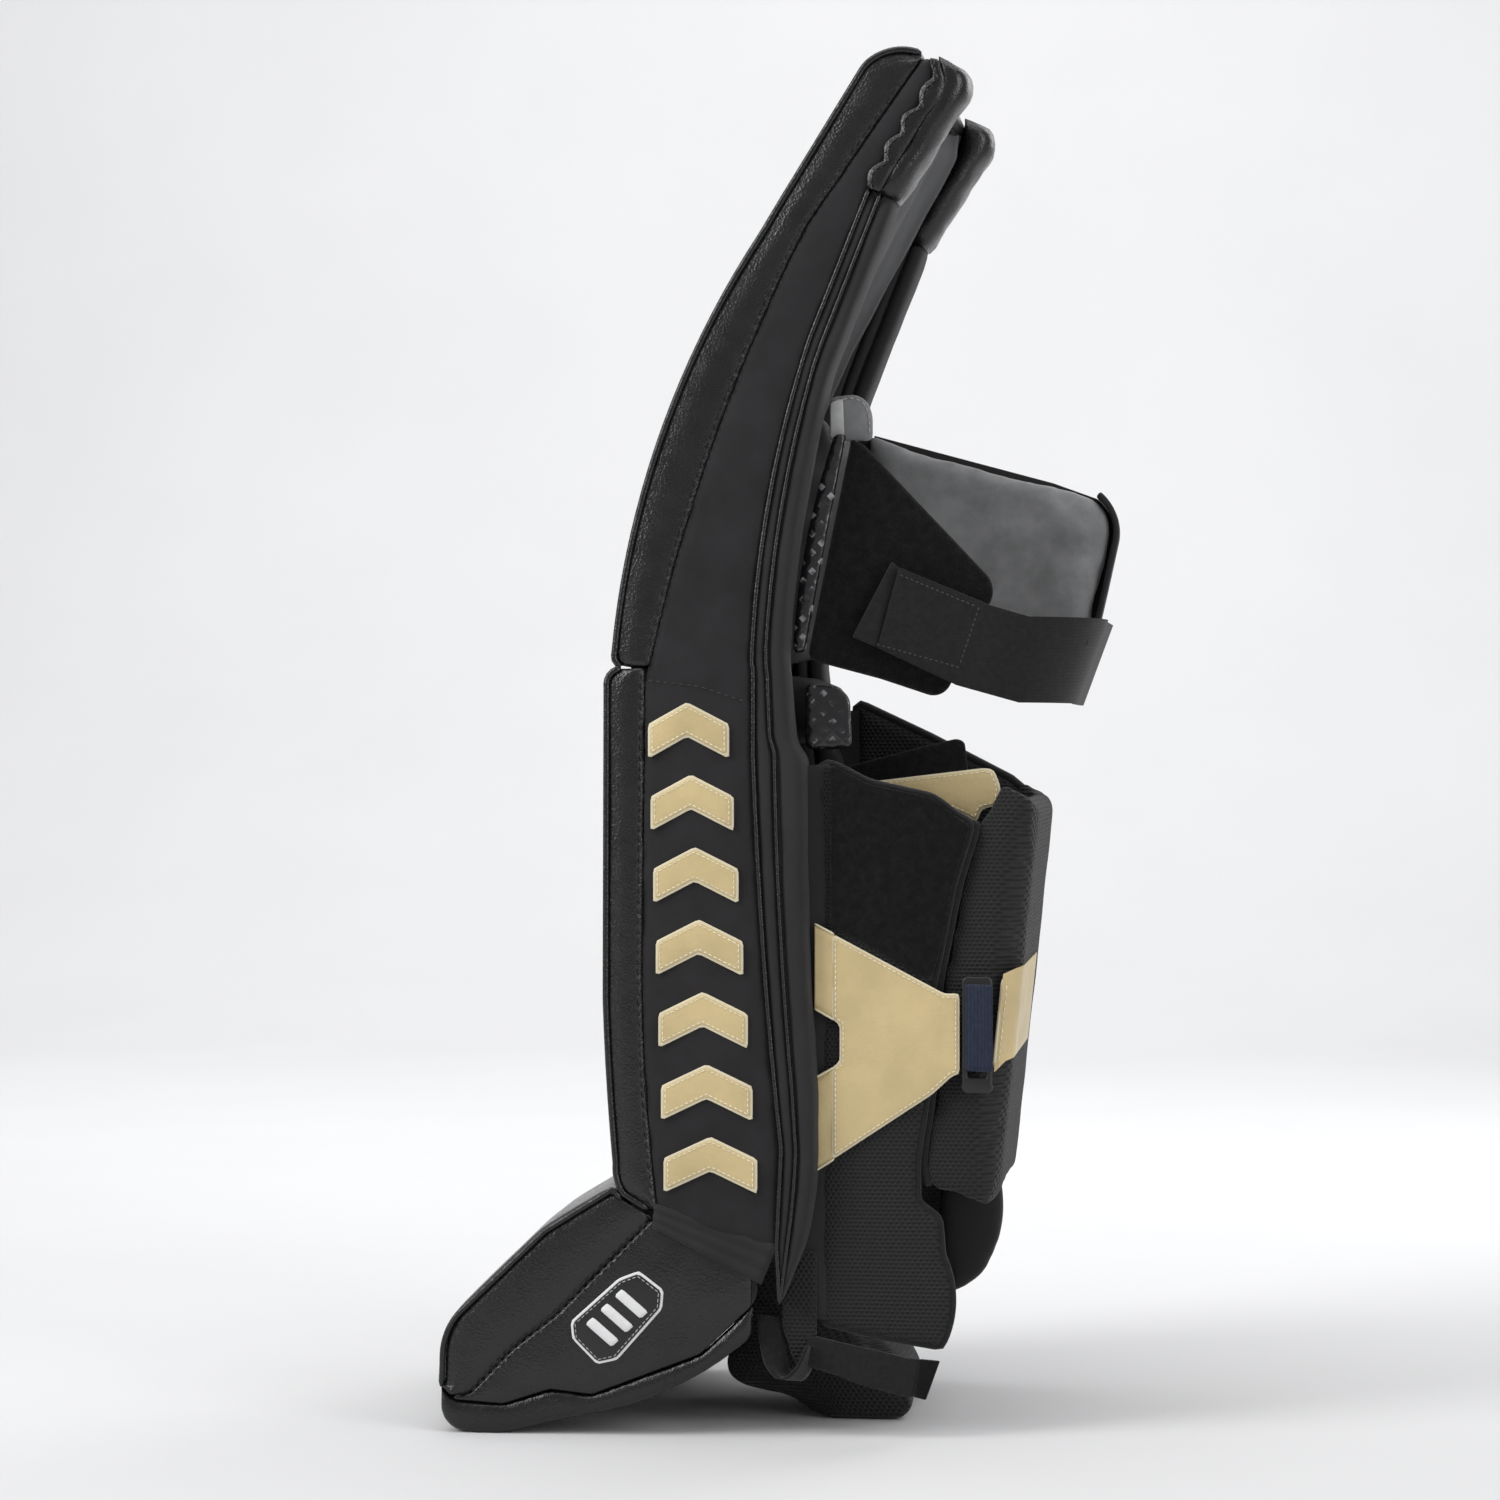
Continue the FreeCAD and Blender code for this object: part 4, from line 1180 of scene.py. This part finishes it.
def make_knee_flap():
    place, outlines, half = slab("knee_flap")
    flap = pillow("knee_flap_loop", rounded(outlines[0], 2), half / MM, "black_loop", place, 2.4, 0.4, 3,
                  lambda x, z, face: ripple((x, face, z), 34, 1.2) + ripple((x, face, z), 7, 0.35))
    belongs(flap, "knee_flap", "black_loop", "knee_flap")
    elastic = "knee_strap", "black_elastic", "black_elastic"
    strapped("knee_strap", "knee_strap_elastic", *elastic, 0.7, 0.5)
    strapped("knee_strap_tab", "knee_strap_end", *elastic, 0.9, 0.3)
    y = mm_box("knee_strap")[0].y - 0.4
    rows = ((81, 549), (131, 528)), ((131, 528), (119, 492)), ((66, 505), (119, 490))
    for index, ends in enumerate(rows):
        row = stitches(f"knee_strap_stitches_{index + 1}", [Vector((x, y, z)) * MM for x, z in ends],
                       "dull_thread", length=2.2, gap=1.8, thick=0.45)
        belongs(row, "knee_strap", "black_elastic")


# ------------------------------------------------------------------ the calf wings


def wing(node, name, body, slot, material, crown_mm, wave_mm=1.4):
    """A thin padded wing with a bound rim."""
    place, outlines, half = slab(node)
    loop = rounded(outlines[0], 4)

    def waves(x, z, face):
        return ripple((x, 0, z), 60, wave_mm) + ripple((x, face, z), 18, 0.4)

    item = pillow(name, loop, half / MM, material, place, half / MM * 1.4, crown_mm, 4, waves)
    belongs(item, body, slot, node, fill=0.5)
    path = [place @ Vector((x, waves(x, z, -1), z)) for x, z in spaced(loop + loop[:1], 4)[:-1]]
    edging = cord(f"{name}_tape", path, half / MM * 0.62, "binding_tape", sides=10, closed=True)
    belongs(edging, body, slot)


def make_outer_wing():
    wing("outer_wing_pad", "outer_wing_mesh", "outer_wing", "black_mesh", "black_mesh", 1.5)
    place, outlines, half = slab("outer_wing_loop_panel")

    def lift(x, z, face):
        return (-1.4 * MM if face < 0 else 0.0) + ripple((x, 0, z), 60, 1.4) + ripple((x, face, z), 6, 0.3)

    panel = pillow("outer_wing_loop_cloth", rounded(outlines[0], 2), half / MM, "black_loop", place,
                   1.5, 0.5, 3, lift)
    belongs(panel, "outer_wing", "black_loop", "outer_wing_loop_panel")
    appliques("v_strap", "v_strap", "outer_wing", 1.1, 0.6, 2.5)
    strapped("buckle_ring", "buckle_ring_plastic", "buckle", "black_plastic", "black_plastic", 1.3, 0.0)
    low, high = mm_box("buckle_web")
    left, right = low.x - 1.6, high.x + 4.6
    band = mm_outline((left, low.z + 2.5), (right, low.z + 1.5), (right, high.z + 7), (left, high.z + 7.5))
    place = level(mm_box("buckle_ring")[0].y - 1.1)
    web = pillow("buckle_webbing", rounded(band, 0.8), 1.0, "navy_web", place, 0.8, 0.3, 3)
    belongs(web, "buckle", "navy_web", "buckle_web")


def front_edge(node, z):
    """The foremost place of a node's outer side at one height."""
    mesh = NODES[node].data
    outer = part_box(node)[0].y + 4 * MM
    found = []
    for edge in mesh.edges:
        a, b = (mesh.vertices[index].co for index in edge.vertices)
        if (a.z - z) * (b.z - z) < 0:
            place = a.lerp(b, (z - a.z) / (b.z - a.z))
            if place.y < outer:
                found.append(place)
    return min(found, key=lambda place: place.x) if found else None


def edge_line(node, low, high, count, rounds):
    """The foremost line of a node's outer side between two heights in metres."""
    line = [front_edge(node, z) for z in np.linspace(low, high, count)]
    return softened([tuple(place) for place in line if place is not None], rounds)


def make_inner_wing():
    wing("inner_wing_pad", "inner_wing_mesh", "inner_wing", "black_mesh", "black_mesh", 2.0, wave_mm=1.0)
    cushioned("lower_calf_pad", "lower_calf_cushion", "inner_wing", "black_nylon", "rear_nylon", 0.7,
              4.5, 4, 6, 5)
    cushioned("calf_wrap", "calf_wrap_mesh", "inner_wing", "black_mesh", "black_mesh", 0.6,
              4.5, 3.5, 5, 4, 0.8)
    gold = "inner_wing", "gold_leather"
    strapped("calf_strap_tail", "calf_strap_tail_gold", *gold, "gold_leather", 0.5)
    edge = edge_line("calf_strap_tail", 0.236, 0.292, 24, 2)
    belongs(cord("calf_strap_tail_edge", spaced(edge, 3), 1.1, "cream_edge"), *gold)
    beside = [Vector(place) + Vector((3.0, -0.6, 0)) * MM for place in edge]
    belongs(stitches("calf_strap_tail_stitches", beside, "pale_thread", thick=0.3), *gold)
    edge = edge_line("calf_wrap", 0.160, 0.392, 46, 3)
    tape = cord("calf_wrap_edge_tape", spaced(edge, 4), 3.0, "binding_tape", 0.6, sides=10)
    belongs(tape, "inner_wing", "black_mesh")


def make_tongue():
    strapped("tongue_base", "tongue_base_cloth", "shin", "black_loop", "black_loop", 0.8)
    place, outlines, half = slab("calf_tongue_flap")
    flap = pillow("calf_tongue_loop", rounded(outlines[0], 2), half / MM, "black_loop", place, 1.5, 0.3, 3,
                  lambda x, z, face: ripple((x, face, z), 8, 0.4))
    belongs(flap, "calf_tongue", "black_loop", "calf_tongue_flap")
    appliques("upper_strap", "upper_strap", "calf_tongue", 1.1, 0.4, 2.5)


def make_heel_strap():
    elastic = "heel_strap", "black_elastic"
    strapped("heel_strap", "heel_strap_elastic", *elastic, "black_elastic", 0.7, 0.4)
    strapped("heel_strap_tab", "heel_strap_loop_end", *elastic, "black_loop", 1.0, 0.3)


def gusset(name, first, last, bodies, start, end, material, slot, thick_mm, bulge_mm=0.0,
           along=(0, 1, 0), folds=0):
    """A strip of cloth between two edges given in mm; the two bodies that it is given are not used."""
    count = max(8, round(length_of(first, closed=False) / 5))
    along = Vector(along)
    outside, inside = [], []
    for a, b in zip(evenly(first, count), evenly(last, count)):
        outer_row, inner_row = [], []
        for step in range(17):
            share = step / 16
            puff = abs(math.sin(math.pi * folds * share)) ** 0.6
            place = Vector(a + (b - a) * share) * MM - along * bulge_mm * MM * puff
            place -= along * ripple(place, 20, 0.8)
            outer_row.append(place - along * thick_mm * MM / 2)
            inner_row.append(place + along * thick_mm * MM / 2)
        outside.append(outer_row)
        inside.append(inner_row)
    item = shell(name, outside, inside, material)
    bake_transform(item)


def make_gussets():
    """Cloth hinges between the pad and the wings, and the pleats above the boot."""
    hinge = (0.026, 0, 0), (0.036, 0, 0)
    nylon = "rear_nylon", "black_nylon"
    low, high = mm_box("outer_wing_pad")
    gusset("outer_wing_hinge", [(15, -121, low.z + 18), (15, -121, high.z - 3)],
           [(36, -121, low.z + 16), (36, -121, high.z - 1)], ("shin", "outer_wing"), *hinge, *nylon, 6.5)
    low, high = mm_box("inner_wing_pad")
    gusset("inner_wing_hinge", [(15, 118, low.z + 14), (15, 118, high.z - 5)],
           [(37, 118, low.z + 14), (37, 118, high.z - 5)], ("shin", "inner_wing"), *hinge, *nylon, 8)
    gusset("knee_wing_hinge", [(8, 101, 514), (34, 101, 655)], [(48, 100, 512), (48, 100, 652)],
           ("thigh", "knee_wing"), (0.034, 0, 0), (0.044, 0, 0), *nylon, 7)
    make_strap_roots(hinge)
    low, high = mm_box("heel_strap")
    gusset("heel_strap_root", [(22, -126.6, high.z + 3), (22, -126.6, low.z + 18)],
           [(40, -127.5, high.z - 0.5), (40, -127.5, low.z + 13)], ("shin", "heel_strap"), *hinge,
           "black_elastic", "black_elastic", 2.4)
    for side in (OUTER, INNER):
        name = "outer" if side == OUTER else "inner"
        top = [(-74, side * 139.2, 149), (-40, side * 139.4, 138), (5, side * 139, 124)]
        foot = [(-76, side * 138.4, 133), (-40, side * 138.6, 115), (-6, side * 138.4, 98)]
        gusset(f"boot_{name}_pleats", top, foot, ("shin", "boot"), (-0.03, 0, 0.137), (-0.042, 0, 0.117),
               *nylon, 2.4, 1.6, (0, -side, 0), 3)


def make_strap_roots(hinge):
    """The forked gold strap's two arms where they cross the outer wing's cloth hinge."""
    arms = {"upper": ((272.8, 326.9), (266.0, 320.5)), "lower": ((169.3, 228.6), (177.3, 235.6))}
    for name, (front, rear) in arms.items():
        first = [(27, -127.2, z) for z in front]
        last = [(39.5, -128.2, z) for z in rear]
        gusset(f"v_strap_{name}_root", first, last, ("shin", "outer_wing"), *hinge,
               "gold_leather", "gold_leather", 1.8)
        for index in (0, 1):
            line = evenly([first[index], last[index]], 12)
            path = [(Vector(point) + Vector((0, -1.0, 0))) * MM for point in line]
            edge = cord(f"v_strap_{name}_root_edge_{index + 1}", path, 0.75, "cream_edge")
            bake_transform(edge)


def finish_cad_nodes():
    """Better materials for the CAD nodes that stay in view."""
    kept = {"shin_foam_core": "black_nylon", "thigh_foam_core": "black_nylon",
            "boot_foam_core": "black_nylon", "toe_bridge": "black_plastic",
            "toe_tie_eyelets": "eyelet_metal"}
    for node, material in kept.items():
        for slot in NODES[node].material_slots:
            slot.material = MATERIALS[material]


# ------------------------------------------------------------------ stage, light and camera


def make_stage():
    """A pale sweep: a floor that curves up into a backdrop behind the pad."""
    floor_end, radius = 3.0, 2.2
    profile = [(-6.5, 0.0), (floor_end, 0.0)]
    profile += [(floor_end + radius * math.sin(turn), radius - radius * math.cos(turn))
                for turn in np.linspace(0.05, math.pi / 2, 24)]
    profile.append((floor_end + radius, 7.0))
    vertices = [(side, y, z) for y, z in profile for side in (-8.0, 8.0)]
    faces = [(row * 2, row * 2 + 1, row * 2 + 3, row * 2 + 2) for row in range(len(profile) - 1)]
    mesh = bpy.data.meshes.new("studio_sweep")
    mesh.from_pydata(vertices, [], faces)
    mesh.shade_smooth()
    sweep = bpy.data.objects.new("studio_sweep", mesh)
    bpy.context.scene.collection.objects.link(sweep)
    paper = Shader("studio_paper", 0.9, specular=0.1)
    paper.finish(paper.ramp(paper.noise(2), [(0.3, (0.67, 0.67, 0.675)), (0.7, (0.69, 0.69, 0.695))]),
                 paper.bump(paper.noise(300), 0.1, 0.1))
    mesh.materials.append(paper.material)


def area_light(name, place, target, size, power, colour=(1, 1, 1)):
    light = bpy.data.lights.new(name, "AREA")
    light.shape = "RECTANGLE"
    light.size, light.size_y = size
    light.energy = power
    light.color = colour
    item = bpy.data.objects.new(name, light)
    item.location = place
    item.rotation_euler = (Vector(target) - Vector(place)).to_track_quat("-Z", "Y").to_euler()
    bpy.context.scene.collection.objects.link(item)


def make_lights():
    middle = (0, 0, 0.45)
    area_light("key_left", (-1.9, -1.3, 1.7), middle, (1.0, 2.0), 44)
    area_light("fill_right", (2.2, -1.6, 1.3), middle, (1.1, 2.0), 24)
    area_light("overhead", (0.0, -0.2, 2.6), (0, 0.1, 0), (2.4, 2.0), 30)
    area_light("backdrop_wash", (-0.4, 1.4, 3.4), (-0.6, 5.2, 1.5), (4.5, 1.2), 150)
    area_light("rim_behind", (1.2, 1.5, 1.6), middle, (0.8, 1.6), 12)
    world = bpy.data.worlds.new("studio")
    world.use_nodes = True
    world.node_tree.nodes["Background"].inputs["Color"].default_value = (0.92, 0.93, 0.95, 1)
    world.node_tree.nodes["Background"].inputs["Strength"].default_value = 0.42
    bpy.context.scene.world = world
    bpy.context.scene.view_settings.view_transform = "Standard"


def make_camera():
    low, high = (Vector(corner) for corner in CAD_BOX)
    target = (low + high) / 2 + Vector((-13.3, -139.5, -3.3)) * MM
    distance = 2.5
    turn = math.radians(7)
    camera = bpy.data.objects.new("camera", bpy.data.cameras.new("camera"))
    camera.data.lens = 94.5
    camera.data.sensor_width = 36
    camera.location = target + Vector((math.sin(turn), -math.cos(turn), 0)) * distance
    camera.rotation_euler = (target - camera.location).to_track_quat("-Z", "Y").to_euler()
    bpy.context.scene.collection.objects.link(camera)
    bpy.context.scene.camera = camera


make_camera()
make_stage()
make_lights()
make_thigh_and_shin()
make_knee_break()
make_side_seam()
make_caps()
make_boot_block()
make_emblems()
make_knee_supports()
make_knee_wing()
make_knee_flap()
make_outer_wing()
make_inner_wing()
make_tongue()
make_heel_strap()
make_gussets()
blow_up()
finish_cad_nodes()
